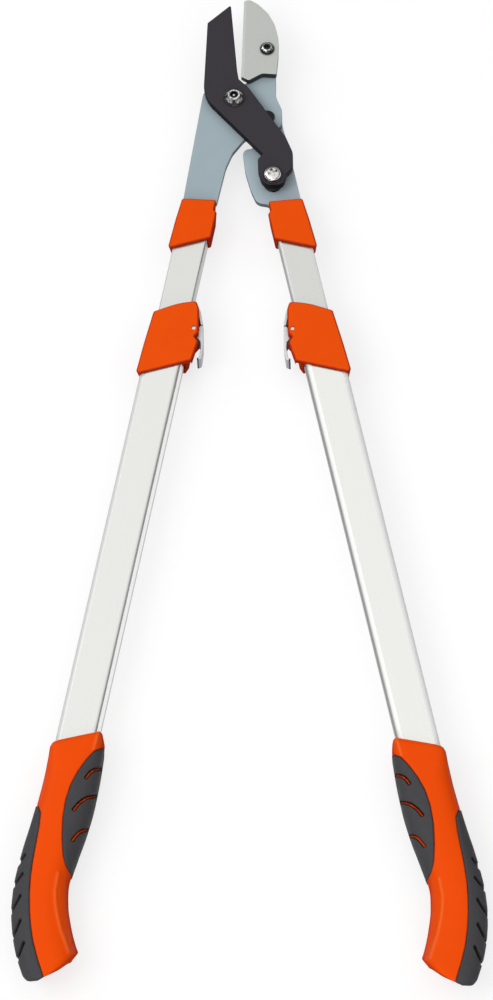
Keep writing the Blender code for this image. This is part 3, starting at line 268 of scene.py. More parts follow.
class Finish:
    """One material, with short ways to its nodes. Its colour starts as a mottled tone, and takes
    up each tint in turn. Lengths are in millimetres."""

    def __init__(self, name, tone, vary, grain, metallic=0.0, specular=0.5, turn=0.0):
        self.material = bpy.data.materials.new(name)
        self.material.use_nodes = True
        self.tree = self.material.node_tree
        self.shader = self.tree.nodes["Principled BSDF"]
        self.shader.inputs["Metallic"].default_value = metallic
        self.shader.inputs["Specular IOR Level"].default_value = specular
        self.turn = turn
        self.normal = None
        dark, light = ((*(min(1.0, c * k) for c in tone[:3]), 1.0) for k in (1 - vary, 1 + vary))
        self.grain = self.noise(*grain)
        self.colour = self.mix(self.grain, dark, light)

    def node(self, kind, inputs=(), **settings):
        return add_node(self.tree, kind, inputs, **settings)

    def math(self, operation, *values):
        return self.node("ShaderNodeMath", enumerate(values), operation=operation).outputs[0]

    def vector(self, operation, *values):
        return self.node("ShaderNodeVectorMath", enumerate(values), operation=operation)

    def here(self, kind):
        """The point of the piece at rest, or its normal there."""
        return self.node("ShaderNodeTexCoord").outputs[kind]

    def along(self, axis, vector):
        return self.node("ShaderNodeSeparateXYZ", {0: vector}).outputs[axis]

    def place(self, stretch=(1, 1, 1), centre=(0, 0, 0)):
        """Points of the piece at rest, from a centre, turned to the handle and squeezed."""
        moved = self.vector('SUBTRACT', self.here("Object"), centre).outputs["Vector"]
        turned = self.node("ShaderNodeMapping", {"Vector": moved, "Rotation": (0, 0, -self.turn)})
        return self.node("ShaderNodeMapping", {"Vector": turned.outputs["Vector"],
                                               "Scale": stretch}).outputs["Vector"]

    def noise(self, scale, detail, rough=0.5, stretch=(1, 1, 1)):
        inputs = {"Vector": self.place(stretch), "Scale": scale, "Detail": detail,
                  "Roughness": rough}
        return self.node("ShaderNodeTexNoise", inputs).outputs["Fac"]

    def spread(self, value, low, high, start=0.3, end=0.7):
        """A value mapped from its middle range to a chosen range."""
        return self.node("ShaderNodeMapRange", {"Value": value, "From Min": start, "From Max": end,
                                                "To Min": low, "To Max": high}).outputs["Result"]

    def patches(self, grain, low, high, start=0.3, end=0.7):
        return self.spread(self.noise(*grain), low, high, start, end)

    def rise(self, value, start, end):
        """0 where a value is at its start, 1 at its end."""
        return self.spread(value, 0.0, 1.0, start, end)

    def mix(self, factor, one, two):
        return self.node("ShaderNodeMix", {0: factor, 6: one, 7: two}, data_type='RGBA').outputs[2]

    def times(self, one, two):
        return self.math('MULTIPLY', one, two)

    def edges(self, radius):
        """Nearly 1 along outer and inner edges, 0 on open faces."""
        soft = self.node("ShaderNodeBevel", {"Radius": radius * MM}, samples=4).outputs["Normal"]
        true = self.node("ShaderNodeNewGeometry").outputs["Normal"]
        return self.rise(self.vector('DOT_PRODUCT', soft, true).outputs["Value"], 0.98, 0.88)

    def level(self):
        """1 on faces in the tool's plane, 0 on walls."""
        return self.math('ABSOLUTE', self.along("Z", self.here("Normal")))

    def sides(self, start=0.75, end=0.35):
        """1 on walls that stand up from the tool's plane, 0 on its flat faces."""
        return self.rise(self.level(), start, end)

    def rim(self):
        """1 on the round between a flat face and a wall, 0 on both."""
        level = self.level()
        return self.times(self.rise(level, 0.98, 0.86), self.rise(level, 0.1, 0.4))

    def facing(self, way, start, end):
        """1 on faces that look a given way, 0 on those that don't."""
        share = self.vector('DOT_PRODUCT', self.here("Normal"), way).outputs["Value"]
        return self.rise(share, start, end)

    def height(self, low, high):
        """0 below one height over the floor, 1 above the other."""
        return self.rise(self.along("Z", self.place()), low, high)

    def tooth(self, centre, count, low, high):
        """0 in the notches of a ring round an upright axis, 1 between them."""
        flat = self.place((1, 1, 1), centre)
        angle = self.math('ARCTAN2', self.along("Y", flat), self.along("X", flat))
        return self.rise(self.math('COSINE', self.times(angle, float(count))), low, high)

    def disc(self, centre, near, far, fade=0.15):
        """1 between two distances from an upright axis."""
        away = self.vector('LENGTH', self.place((1, 1, 0), centre)).outputs["Value"]
        inside = self.rise(away, (near - fade) * MM, (near + fade) * MM)
        outside = self.spread(away, 1.0, 0.0, (far - fade) * MM, (far + fade) * MM)
        return self.times(inside, outside)

    def crevices(self, reach, dark=0.35, light=0.9):
        """1 in narrow gaps and grooves, where shade falls, 0 in the open: the mask of painted
        shade.
        """
        seen = self.node("ShaderNodeAmbientOcclusion", {"Distance": reach * MM}, samples=6)
        return self.spread(seen.outputs["AO"], 1.0, 0.0, dark, light)

    def mark(self, name):
        """A value that the mesh itself keeps at its points."""
        return self.node("ShaderNodeAttribute", attribute_name=name).outputs["Fac"]

    def tint(self, factor, *tone):
        self.colour = self.mix(factor, self.colour, srgb(*tone))

    def worn(self, radius, grain, spread, *tone):
        """A tint along edges, in patches."""
        self.tint(self.times(self.edges(radius), self.patches(grain, *spread)), *tone)

    def bump(self, height, strength, distance):
        inputs = {"Height": height, "Strength": strength, "Distance": distance * MM}
        if self.normal is not None:
            inputs["Normal"] = self.normal
        self.normal = self.node("ShaderNodeBump", inputs).outputs["Normal"]

    def done(self, roughness, metallic=None):
        for name, value in (("Base Color", self.colour), ("Roughness", roughness),
                            ("Metallic", metallic), ("Normal", self.normal)):
            if value is not None:
                self.tree.links.new(value, self.shader.inputs[name])
        return self.material


def painted_plate(name, *tone):
    f = Finish(name, srgb(*tone), 0.05, (60, 4), specular=0.25)
    # Painted shade: walls darker than the flat faces.
    f.tint(f.sides(), 100, 112, 120)
    f.worn(0.4, (400, 4), (0.15, 0.6, 0.4, 0.6), 205, 212, 214)
    # Painted shade in the gaps between parts.
    f.tint(f.crevices(0.9, 0.45, 0.95), 70, 77, 84)
    f.bump(f.noise(2600, 2), 0.16, 0.05)
    f.bump(f.noise(500, 2), 0.10, 0.1)
    return f.done(f.patches((180, 4), 0.36, 0.52))


def black_coating():
    f = Finish("black_coating", srgb(59, 56, 62), 0.08, (900, 4), specular=0.1)
    # Painted shade: walls nearly black.
    f.tint(f.sides(0.98, 0.8), 10, 9, 11)
    # Lighter edges in patches: edge wear, and also a painted highlight along the chamfers.
    f.worn(0.35, (260, 4), (0.0, 0.9, 0.5, 0.66), 120, 118, 124)
    f.bump(f.noise(3500, 3), 0.30, 0.05)
    return f.done(f.patches((300, 4), 0.42, 0.58))


def blade_steel():
    f = Finish("blade_steel", srgb(202, 205, 200), 0.06, (700, 6, 0.7), metallic=0.6, specular=0.3,
               turn=math.radians(-2))
    f.worn(0.35, (400, 3), (0.4, 1.0, 0.4, 0.6), 232, 234, 230)
    # Painted shade: walls darker than the faces.
    f.tint(f.sides(0.5, 0.25), 58, 60, 64)
    # Painted shade in gaps and grooves.
    f.tint(f.crevices(1.0), 40, 42, 46)
    f.bump(f.noise(900, 3, 0.5, (0.06, 1, 1)), 0.10, 0.04)
    f.bump(f.noise(2200, 3), 0.18, 0.04)
    return f.done(f.patches((500, 4), 0.36, 0.52))


def chrome():
    f = Finish("chrome", (0.84, 0.84, 0.82), 0.04, (300, 3), metallic=1.0)
    # Painted shade in gaps and grooves.
    f.tint(f.crevices(1.4, 0.3, 0.7), 14, 14, 15)
    f.bump(f.noise(1500, 2), 0.03, 0.03)
    return f.done(f.patches((800, 5), 0.20, 0.34))


def lever_steel(side):
    """Bright sheet steel, darker at its rolled end, with painted shade on its cut edges."""
    f = Finish(side.name + "_lever_steel", srgb(228, 230, 231), 0.04, (300, 3), metallic=0.5,
               specular=0.4)
    # Painted shade on the walls.
    f.tint(f.sides(0.9, 0.5), 168, 171, 176)
    tip = side.matrix @ Vector((*side.down(*LEVER_TIP), 0))
    f.tint(f.disc(tuple(tip), -1, 1.0, 0.2), 44, 44, 48)
    f.bump(f.noise(1500, 2), 0.05, 0.03)
    return f.done(f.patches((800, 5), 0.25, 0.4))


def black_steel(name="black_steel", bright=(), dim=0.35, tone=214):
    """Blackened steel, bright between given distances from an axis, outside the notches: partly
    worn bare metal, partly painted glints.
    """
    f = Finish(name, srgb(22, 22, 24), 0.15, (700, 4), specular=0.25)
    f.worn(0.3, (700, 3), (0.2, 0.9, 0.4, 0.6), 150, 150, 152)
    shine = None
    # Bright rings patterned after glints and reflections: partly worn bare metal, partly painted
    # highlight.
    for centre, near, far, notched, notches in bright:
        inner = f.disc(centre, near, notched)
        outer = f.times(f.disc(centre, notched, far), f.tooth(centre, notches, 0.8, 0.4))
        outer = f.times(outer, f.patches((1100, 2), 0.1, 0.8, 0.42, 0.56))
        shine = f.times(f.math('MAXIMUM', inner, outer),
                        f.patches((700, 3), dim, 1.0, 0.4, 0.55))
        f.tint(shine, tone, tone, tone - 3)
    # Painted shade in gaps and grooves.
    f.tint(f.crevices(0.9, 0.35, 0.75), 8, 8, 9)
    f.bump(f.noise(3000, 2), 0.10, 0.03)
    return f.done(f.patches((500, 4), 0.16, 0.32), shine)


def zinc():
    f = Finish("zinc", srgb(184, 188, 193), 0.08, (450, 5, 0.65), metallic=0.9)
    # Painted shade in gaps and grooves.
    f.tint(f.crevices(0.9), 46, 46, 50)
    f.bump(f.noise(1800, 3), 0.12, 0.03)
    return f.done(f.patches((350, 5), 0.26, 0.44))


def orange(name, tone, wall, low, high, rim=False):
    f = Finish(name, srgb(*tone), 0.03, (90, 4), specular=0.07)
    # Painted shade: walls darker than the flat faces.
    f.tint(f.sides(0.6, 0.2), *wall)
    # Painted shade: a dark line in patches along the rims.
    if rim:
        f.tint(f.times(f.rim(), f.patches((300, 3), 0.5, 0.85)), 168, 38, 4)
    f.worn(0.4, (300, 4), (0.0, 0.5, 0.5, 0.66), 248, 112, 40)
    # Painted shade in gaps and grooves.
    f.tint(f.crevices(1.3, 0.35, 0.9), 126, 24, 4)
    # Painted highlight along the grip's ridges.
    f.tint(f.times(f.mark("ridge"), 0.55), 252, 118, 52)
    f.bump(f.noise(3800, 2), 0.18, 0.05)
    f.bump(f.noise(260, 2), 0.05, 0.15)
    matt = f.spread(f.sides(0.5, 0.15), 0.0, 0.45, 0.0, 1.0)
    return f.done(f.math('ADD', f.patches((220, 4), low, high), matt))


def aluminium(name, turn, inward, tone, wall, foot, gloss, outer_tone):
    """Drawn tube: its inner wall has painted light and shade of its own, above and at its foot,
    and so has its outer wall. The gloss is how bare the metal of the inner wall looks."""
    f = Finish(name, srgb(tone, tone + 1, tone - 4), 0.02, (1500, 4, 0.5, (1, 0.008, 1)), turn=turn)
    # Painted light and shade on the inner wall: one tone above, one at its foot.
    by_height = f.mix(f.height(PIVOT.z - WALL_FOOT, PIVOT.z), srgb(*foot), srgb(*wall))
    f.colour = f.mix(f.facing(inward, 0.7, 0.95), f.colour, by_height)
    # Painted light and shade: the outer wall's own tone.
    outer = f.facing(tuple(-c for c in inward), 0.1, 0.5)
    f.tint(outer, outer_tone, outer_tone, outer_tone)
    # Painted shade in gaps and grooves.
    f.tint(f.crevices(1.3, 0.3, 0.8), 90, 90, 92)
    f.bump(f.grain, 0.012, 0.02)
    metallic = f.times(f.spread(outer, 0.8, 0.15, 0.0, 1.0),
                       f.spread(f.facing(inward, 0.1, 0.5), 1.0, gloss, 0.0, 1.0))
    drawn = f.spread(f.noise(700, 4, 0.5, (1, 0.02, 1)), 0.2, 0.28)
    return f.done(f.math('ADD', drawn, f.spread(metallic, 0.45, 0.0, 0.1, 0.8)), metallic)


def nylon():
    f = Finish("grey_nylon", srgb(90, 90, 92), 0.06, (300, 4), specular=0.4)
    f.bump(f.noise(1200, 3), 0.15, 0.05)
    return f.done(f.patches((200, 3), 0.45, 0.6))


def dark_rubber():
    f = Finish("dark_rubber", srgb(70, 69, 72), 0.08, (250, 4), specular=0.12)
    # Painted shade in gaps and grooves.
    f.tint(f.crevices(2.6, 0.4, 0.9), 3, 3, 3)
    # Painted shade: the slits painted black.
    f.tint(f.mark("slit"), 3, 3, 3)
    f.bump(f.noise(3200, 3), 0.35, 0.07)
    return f.done(f.patches((260, 4), 0.58, 0.76))


FINISHES = {
    "plate": painted_plate("painted_plate", 160, 176, 183),
    "black_coating": black_coating(),
    "blade_steel": blade_steel(),
    "chrome": chrome(),
    "black_steel": black_steel(),
    "zinc": zinc(),
    # The second colour of each orange is the painted shade on its walls.
    "orange_plastic": orange("orange_plastic", (238, 80, 0), (180, 36, 0), 0.36, 0.48, True),
    "orange_grip": orange("orange_grip", (240, 77, 0), (234, 68, 0), 0.40, 0.54),
    "grey_nylon": nylon(),
    "dark_rubber": dark_rubber(),
}


def draw_in(mesh):
    """Flattens the little that a bulge stands past the box of the solids."""
    points = np.empty(3 * len(mesh.vertices), np.float32)
    mesh.vertices.foreach_get("co", points)
    low, high = (np.array(corner, np.float32) for corner in CAD_BOX)
    mesh.vertices.foreach_set("co", np.clip(points.reshape(-1, 3), low, high).ravel())
    mesh.update()


def place(node, mesh, where=HEAD, finish=None):
    """The finer piece that stands for a node, on its body and with its slot's finish."""
    mesh.transform(where)
    draw_in(mesh)
    mesh.name = node + "_fine"
    mesh.materials.clear()
    mesh.materials.append(finish or FINISHES[SLOT_OF[node]])
    piece = added(node + "_fine", mesh)
    piece.modifiers.new("flat_faces", 'WEIGHTED_NORMAL').keep_sharp = True
    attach(piece, BODY_OF[node])
    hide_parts(node)
    return piece


# Sizes that the fine pieces share with the solids

LINK_PIVOT = (24.6 * MM, -59.4 * MM)
FULCRUM = (21.3 * MM, -11.0 * MM)
BLADE_SCREW_AT = (21.3 * MM, 38.6 * MM)
ARM_PER_LEVER = 1.3
LEVER_CLOSE = math.radians(6.0)
LEVER_OPEN = math.radians(38.0)
ARM_PLATE_T = 4.0 * MM
LEVER_T = 5.0 * MM
BLADE_T = 4.5 * MM
PIVOT_WASHER_T = 0.8 * MM
PLATE_EDGE = 0.4 * MM
LEFT_PLATE_Z = (FIT_GAP / 2, FIT_GAP / 2 + ARM_PLATE_T)
RIGHT_PLATE_Z = (-FIT_GAP / 2 - ARM_PLATE_T, -FIT_GAP / 2)
PIVOT_WASHER_Z = LEFT_PLATE_Z[1] + FIT_GAP
LEVER_Z = (PIVOT_WASHER_Z + PIVOT_WASHER_T + FIT_GAP,
           PIVOT_WASHER_Z + PIVOT_WASHER_T + FIT_GAP + LEVER_T)
BLADE_Z = (LEFT_PLATE_Z[1] + FIT_GAP, LEFT_PLATE_Z[1] + FIT_GAP + BLADE_T)
MAIN_SHANK_R = 4.0 * MM
LINK_SHANK_R = 3.0 * MM
FULCRUM_SHANK_R = 3.5 * MM
BLADE_SHANK_R = 2.9 * MM
SLOT_GAP = 0.2 * MM
NUT_T = 5.0 * MM
WASHER_T = 1.0 * MM
RECESS_TURN = math.radians(22)
CROWN_SHARE, CROWN_SLOPE, CROWN_GAP = 0.97, 0.5, 0.01 * MM
BEVEL_LAND, BEVEL_W, BEVEL_REACH = 1.6 * MM, 1.8 * MM, 12 * MM

# Tubes are given as (width, height, corner radius), leans as (lean, more lean per millimetre out)

OUTER_TUBE = (24.8 * MM, 18.0 * MM, 4.0 * MM)
OUTER_WALL = 1.8 * MM
SLIDE_GAP = 0.4 * MM
INNER_WALL = 1.5 * MM
INNER_TUBE = (OUTER_TUBE[0] - 2 * OUTER_WALL - 2 * SLIDE_GAP,
              OUTER_TUBE[1] - 2 * OUTER_WALL - 2 * SLIDE_GAP,
              OUTER_TUBE[2] - OUTER_WALL - SLIDE_GAP)
WALL_FOOT = 2.5 * MM
CAVITY_R = 0.6 * MM
SLEEVE_TOP = 76.6 * MM
SLEEVE_TOP_SLOPE = 0.115
INNER_TUBE_TOP = 86.0 * MM
INNER_TUBE_END = 526.0 * MM
TANG_END = 128.0 * MM
TANG_W = 14.0 * MM
ARM_W = 21.6 * MM
COLLAR_TOP = 159.6 * MM
OUTER_TUBE_TOP = 178.0 * MM
OUTER_TUBE_END = 538.0 * MM
CLAMP_PIN_AT = 172.6 * MM
SLANT = math.radians(26)
SLEEVE_WALL = 2.4 * MM
SLEEVE_LENGTH = 33.7 * MM
SLEEVE_DRAFT = 0.07
SLEEVE_LEAN = (0.25, 0.006)
COLLAR_WALL = 1.9 * MM
COLLAR_LENGTH = 45.4 * MM
COLLAR_EAR_U = -14.6 * MM
COLLAR_EAR_FROM = 18.7 * MM
COLLAR_CORNER_R = 2 * MM
COLLAR_FOOT_U = -18.3 * MM
COLLAR_LEAN = (0.31, 0.0018)
LIP_FROM = 30 * MM
COLLAR_LIP_EDGE = ((COLLAR_EAR_U, LIP_FROM), (-13.1 * MM, 34 * MM), (-11.5 * MM, 34 * MM))
SOFT_EDGE = 1.6 * MM
CLAMP_PIN_U = -15.2 * MM
CLAMP_PIN_R = 1.3 * MM
CLAMP_LUG_R = 2.0 * MM
LEVER_TIP = (CLAMP_PIN_AT + 19.2 * MM, CLAMP_PIN_U - 5.6 * MM)
CLAMP_FLOOR_U = CLAMP_PIN_U + CLAMP_LUG_R + FIT_GAP
LEVER_HALF_Z = 5.6 * MM
CLAMP_SLOT_HALF_Z = 6.1 * MM
SHOE_LENGTH = 8.0 * MM
SHOE_HALF_Z = 4.0 * MM
GRIP_AT = OUTER_TUBE_END - 78 * MM
GRIP_OFFSET = 3.2 * MM


class Side:
    """One handle: which way is outward, and where its axis lies. The tones are those of its
    tubes, for aluminium(), with painted light and shade on their walls."""

    def __init__(self, name, sign, axis_x, angle, shift, plate_z, inner_tones, outer_tones):
        self.name = name
        self.sign = sign
        self.shift = shift
        self.axis_x = axis_x
        self.turn = sign * angle
        self.plate_z = plate_z
        self.grip_at = GRIP_AT + sign * GRIP_OFFSET
        self.matrix = HEAD @ Matrix.Translation((axis_x, 0, 0)) @ Matrix.Rotation(self.turn, 4, 'Z')
        inward = (-sign * math.cos(self.turn), -sign * math.sin(self.turn), 0)
        self.inner_metal = aluminium(name + "_inner_aluminium", self.turn, inward, *inner_tones)
        self.outer_metal = aluminium(name + "_outer_aluminium", self.turn, inward, *outer_tones)

    def place(self, node, mesh, finish=None):
        return place(self.name + node, mesh, self.matrix, finish)

    def down(self, station, outward):
        """A handle point in the plane of the handle's own axis."""
        return (self.sign * outward, -(station + self.shift))

    def on_head(self, station, outward):
        """A handle point seen from the main pivot."""
        x, y = self.down(station, outward)
        c, s = math.cos(self.turn), math.sin(self.turn)
        return (self.axis_x + c * x - s * y, s * x + c * y)

    def outline(self, corners):
        return rounded([(*self.down(station, outward), radius)
                        for outward, station, radius in corners])

    def rectangle(self, inner, outer, top, bottom):
        return self.outline([(inner, top, 0), (outer, top, 0), (outer, bottom, 0),
                             (inner, bottom, 0)])


# Tube tones: (face, inner wall, its foot, gloss, outer wall); the wall tones, and the differences
# between the two sides, are painted light and shade.
LEFT = Side("left", -1, -7.76 * MM, math.radians(10.8), 0.0, LEFT_PLATE_Z,
            (237, (168, 170, 172), (158, 160, 162), 1.0, 218),
            (247, (250, 250, 251), (150, 152, 155), 1.0, 222))
RIGHT = Side("right", 1, 16.74 * MM, math.radians(11.6), 1.8 * MM, RIGHT_PLATE_Z,
             (228, (190, 192, 195), (206, 208, 210), 0.1, 250),
             (252, (160, 162, 165), (222, 223, 224), 0.15, 255))


# Head

def sleeve_top(outward):
    return SLEEVE_TOP + SLEEVE_TOP_SLOPE * outward


def tang_corners(side):
    corners = []
    for half, radius in ((ARM_W / 2, 0.6 * MM), (TANG_W / 2, 0.8 * MM)):
        for outward in (-half, half):
            station = sleeve_top(outward) - FIT_GAP
            corners.append((*side.on_head(station, outward), radius))
    ends = [(*side.on_head(TANG_END, outward), 2 * MM) for outward in (-TANG_W / 2, TANG_W / 2)]
    return [corners[0], corners[2], *ends, corners[3], corners[1]]


def spin(point, centre, angle):
    x, y = point[0] - centre[0], point[1] - centre[1]
    c, s = math.cos(angle), math.sin(angle)
    return (centre[0] + c * x - s * y, centre[1] + s * x + c * y)


def band_outline(path, half_width, end_points):
    """The outline of a slot of constant width along a path, with round ends."""
    points = [Vector(p) for p in path]
    left, right = [], []
    for index, here in enumerate(points):
        ahead = points[min(index + 1, len(points) - 1)] - points[max(index - 1, 0)]
        ahead.normalize()
        normal = Vector((-ahead.y, ahead.x)) * half_width
        left.append(here + normal)
        right.append(here - normal)
    ends = []
    for here, spoke in ((points[-1], left[-1] - points[-1]), (points[0], right[0] - points[0])):
        arc = []
        for number in range(1, end_points + 1):
            turned_spoke = spoke.copy()
            turned_spoke.rotate(Matrix.Rotation(-math.pi * number / (end_points + 1), 2))
            arc.append(here + turned_spoke)
        ends.append(arc)
    return [(p.x, p.y) for p in left + ends[0] + right[::-1] + ends[1]]


def slot_path():
    """The link screw's way over the right arm, from past shut to past open."""
    margin = math.radians(1.0)
    steps = 28
    path = []
    for number in range(steps + 1):
        turn = -LEVER_CLOSE - margin + (LEVER_CLOSE + LEVER_OPEN + 2 * margin) * number / steps
        path.append(spin(spin(LINK_PIVOT, (0, 0), turn), FULCRUM, -ARM_PER_LEVER * turn))
    return path


# Outlines: (across, up, corner radius) from the main pivot for the head, (outward, down, corner
# radius) from the collar's top or from the lever pin for the clamp

LOBE = 9.3 * MM
LEVER_OUTLINE = in_mm([
    (-2.2, 72.4, 0.8), (-17.3, 58.6, 1.2), (-19.9, 1.6, 24), (18.2, -43.0, 0.5), (15.2, -46.8, 3),
    (15.4, -55.5, 8), (18.2, -66.8, 7), (31.6, -66.8, 7), (33.4, -58.6, 4), (37.7, -54.0, 6),
    (37.6, -42.0, 12), (33.2, -30.4, 12), (9.5, 7.7, 3), (2.9, 14.8, 1.0), (1.9, 21.5, 30)])
BLADE_OUTLINE = in_mm([
    (6.3, 76.6, 0.8), (10.2, 77.0, 3), (15.4, 73.6, 12), (21.7, 66.6, 14), (26.2, 57.6, 18),
    (28.7, 46.0, 24), (28.5, 33.0, 30), (27.2, 18.9, 0.8), (17.9, 19.8, 5), (9.3, 14.6, 1.5),
    (4.4, 17.6, 1.0)])
COLLAR_INNER_EDGE = in_mm([
    (-19.2, 27.0, 12.0), (-19.7, 21.8, 2.0), (-16.8, 18.7, 0.6), (-18.6, 15.4, 1.9),
    (-17.6, 8.5, 15.0), (-15.4, -2.6, 4.0), (-13.0, -7.1, 2.0), (-6.0, -5.0, 20.0),
    (0.0, -2.5, 40.0)])
CLAMP_LEVER_EDGE = in_mm([
    (-4.6, -5.6, 0.6), (-6.2, 1.8, 40), (-7.7, 9.4, 40), (-8.1, 18.0, 1.0), (-5.7, 19.8, 0.6),
    (-5.3, 18.2, 0.4), (-6.6, 17.0, 0.8), (-6.1, 9.4, 30), (-5.0, 5.8, 1.5), (-2.8, 4.0, 0.8)])
CLAMP_LEVER_NOSE = in_mm([(-2.2, -3.4, 0.6), (-3.0, -5.6, 0.5)])
CLAMP_SPRING_EDGE = in_mm([(0.4, -15.4, 1), (1.7, -17.8, 0.4), (0.6, -18.6, 0.4),
                           (-1.3, -15.6, 6), (-4.6, -6.4, 0.5), (-3.0, -6.2, 0.5)])


def make_plates():
    fx, fy = FULCRUM
    holder = in_mm([(-20.2, 8.0, 8), (-15.0, 14.5, 9), (-2.0, 14.8, 8), (7.5, 15.0, 4),
                    (12.0, 21.0, 4), (11.5, 58.0, 4), (19.5, 60.5, 6), (26.0, 48.0, 12),
                    (26.8, 22.0, 6), (26.7, 4.6, 14)])
    eye = [(fx + LOBE, fy + 0.6 * LOBE, 8 * MM), (fx + LOBE, fy - LOBE, LOBE),
           (fx - 3 * MM, fy - LOBE, LOBE)]
    inner_edge = in_mm([(6.5, -27.5, 12), (-1.2, -38.0, 14), (-5.4, -48.5, 40)])
    outline = rounded(holder + eye + inner_edge + tang_corners(LEFT))
    holes = [bore((0, 0), MAIN_SHANK_R), bore(FULCRUM, FULCRUM_SHANK_R),
             bore(BLADE_SCREW_AT, BLADE_SHANK_R)]
    place("left_arm_plate", slab([outline] + holes, *LEFT_PLATE_Z, PLATE_EDGE, 3))

    eye = [(fx + LOBE, fy - 4 * MM, 30 * MM), (fx + LOBE, fy + LOBE, LOBE),
           (fx - LOBE, fy + LOBE, LOBE), (fx - LOBE, fy - 5 * MM, 6 * MM)]
    inner_edge = in_mm([(13.6, -31.8, 4), (5.0, -32.6, 6.5), (6.9, -50.0, 30), (10.6, -64.0, 30),
                        (14.2, -73.2, 6), (21.0, -74.6, 3)])
    outer_edge = in_mm([(37.0, -44.0, 60), (33.3, -25.0, 60)])
    outline = rounded(eye + inner_edge + tang_corners(RIGHT)[1:] + outer_edge)
    holes = [bore(FULCRUM, FULCRUM_SHANK_R),
             band_outline(slot_path(), LINK_SHANK_R + SLOT_GAP, 15)]
    # The right plate's finish is a lighter copy of the plate's: painted light against the lever's
    # shade.
    place("right_arm_plate", slab([outline] + holes, *RIGHT_PLATE_Z, PLATE_EDGE, 3),
          finish=painted_plate("painted_right_plate", 172, 188, 196))


def make_jaws():
    holes = [bore((0, 0), MAIN_SHANK_R), bore(LINK_PIVOT, LINK_SHANK_R)]
    place("anvil_lever", slab([rounded(LEVER_OUTLINE)] + holes, *LEVER_Z, 0.6 * MM, 3))

    blade = slab([rounded(BLADE_OUTLINE), bore(BLADE_SCREW_AT, BLADE_SHANK_R)], *BLADE_Z,
                 0.25 * MM, 2)
    top, bottom = (Vector(BLADE_OUTLINE[corner][:2]) for corner in (0, -1))
    along = (top - bottom).normalized()
    across = Vector((along.y, -along.x))
    length = (top - bottom).length
    slope = (BLADE_T / 2 - BEVEL_LAND) / BEVEL_W
    tools = []
    for way in (1, -1):
        outline = [(-BEVEL_REACH, way * (BEVEL_LAND - slope * BEVEL_REACH)),
                   (-BEVEL_REACH, way * BEVEL_REACH), (2 * BEVEL_W, way * BEVEL_REACH),
                   (2 * BEVEL_W, way * (BEVEL_LAND + slope * 2 * BEVEL_W))]
        tool = slab([outline[::way]], -0.8 * length, 0.8 * length)
        tool.transform(Matrix(((across.x, 0, along.x, bottom.x + along.x * length / 2),
                               (across.y, 0, along.y, bottom.y + along.y * length / 2),
                               (0, 1, 0, (BLADE_Z[0] + BLADE_Z[1]) / 2), (0, 0, 0, 1))))
        tools.append(tidy_mesh(tool))
    place("blade", tidy_mesh(cut(blade, *tools), 12))


def ring(node, at, outer, shank, low, high, edge=0.15 * MM, **flutes):
    """A washer or spacer with softened rims."""
    inner = shank + BORE_GAP
    profile = [(outer - edge, high), (outer, high - edge), (outer, low + edge), (outer - edge, low),
               (inner + edge, low), (inner, low + edge), (inner, high - edge), (inner + edge, high)]
    place(node, lathe(profile, at, **flutes))


def nut(node, at, across, top, shank):
    """A hexagon nut with a rounded crown on both faces."""
    hexagon = slab([circle((0, 0), across / math.sqrt(3), 6), bore((0, 0), shank)],
                   top - NUT_T, top)
    reach, flat_r = 3 * across, across / 2 * CROWN_SHARE
    crowns = []
    for face, way in ((top, 1), (top - NUT_T, -1)):
        profile = [(flat_r, face + way * CROWN_GAP),
                   (reach, face - way * (reach - flat_r) * CROWN_SLOPE),
                   (reach, face + way * reach), (flat_r, face + way * reach)]
        crowns.append(lathe(profile[::way]))
    made = cut(hexagon, *crowns)
    made.transform(Matrix.Translation((at[0], at[1], 0)))
    place(node, tidy_mesh(made, 20))


def screw_head(radius, top, rows):
    """A head's profile, from rows of (radius, height) in millimetres past its rim and its top."""
    return [(0, top)] + [(radius + wider * MM, top + higher * MM) for wider, higher in rows]


def shank(radius, seat, end, chamfer):
    return [(radius, seat), (radius, end + chamfer), (radius - chamfer, end), (0, end)]


def recess(outline, top, depth):
    """A tool that sinks an outline into a screw's head."""
    return slab(outline, top - depth, top + 2 * MM)


def make_main_pivot():
    seat = LEVER_Z[1] + FIT_GAP
    top = seat + 4.0 * MM
    end = LEFT_PLATE_Z[0] - FIT_GAP - NUT_T - 1.2 * MM
    profile = screw_head(6.8 * MM, top, [
        (-3.5, 0), (-3.05, -0.15), (-2.9, -0.5), (-2.6, -1.2), (-1.6, -2.6), (-1.25, -2.95),
        (-0.45, -3.0), (0, -3.5), (-0.2, -4.0)]) + shank(MAIN_SHANK_R, seat, end, 0.8 * MM)
    bolt = lathe(profile, sides=144, flutes=4, flute_depth=0.5 * MM, fluted=(4, 5, 6))
    hexagon = circle((0, 0), 4.6 * MM / math.sqrt(3), 6)
    socket = recess([hexagon, circle((0, 0), 0.75 * MM)], top, 2.6 * MM)
    over_pin = recess([circle((0, 0), 1.2 * MM)], top, 0.8 * MM)
    centre = tuple(PIVOT)
    # A bright notched ring and a bright top on the socket's centre pin: painted highlights over
    # worn bare metal.
    worn = black_steel("main_bolt_steel", [(centre, 2.8, 5.6, 3.9, 4), (centre, -1, 0.7, 0.7, 4)],
                       0.3, 232)
    place("main_pivot_bolt", cut(bolt, socket, over_pin), finish=worn)
    ring("main_pivot_washer", (0, 0), 8.5 * MM, MAIN_SHANK_R, PIVOT_WASHER_Z,
         PIVOT_WASHER_Z + PIVOT_WASHER_T)
    nut("main_pivot_nut", (0, 0), 13 * MM, LEFT_PLATE_Z[0] - FIT_GAP, MAIN_SHANK_R)


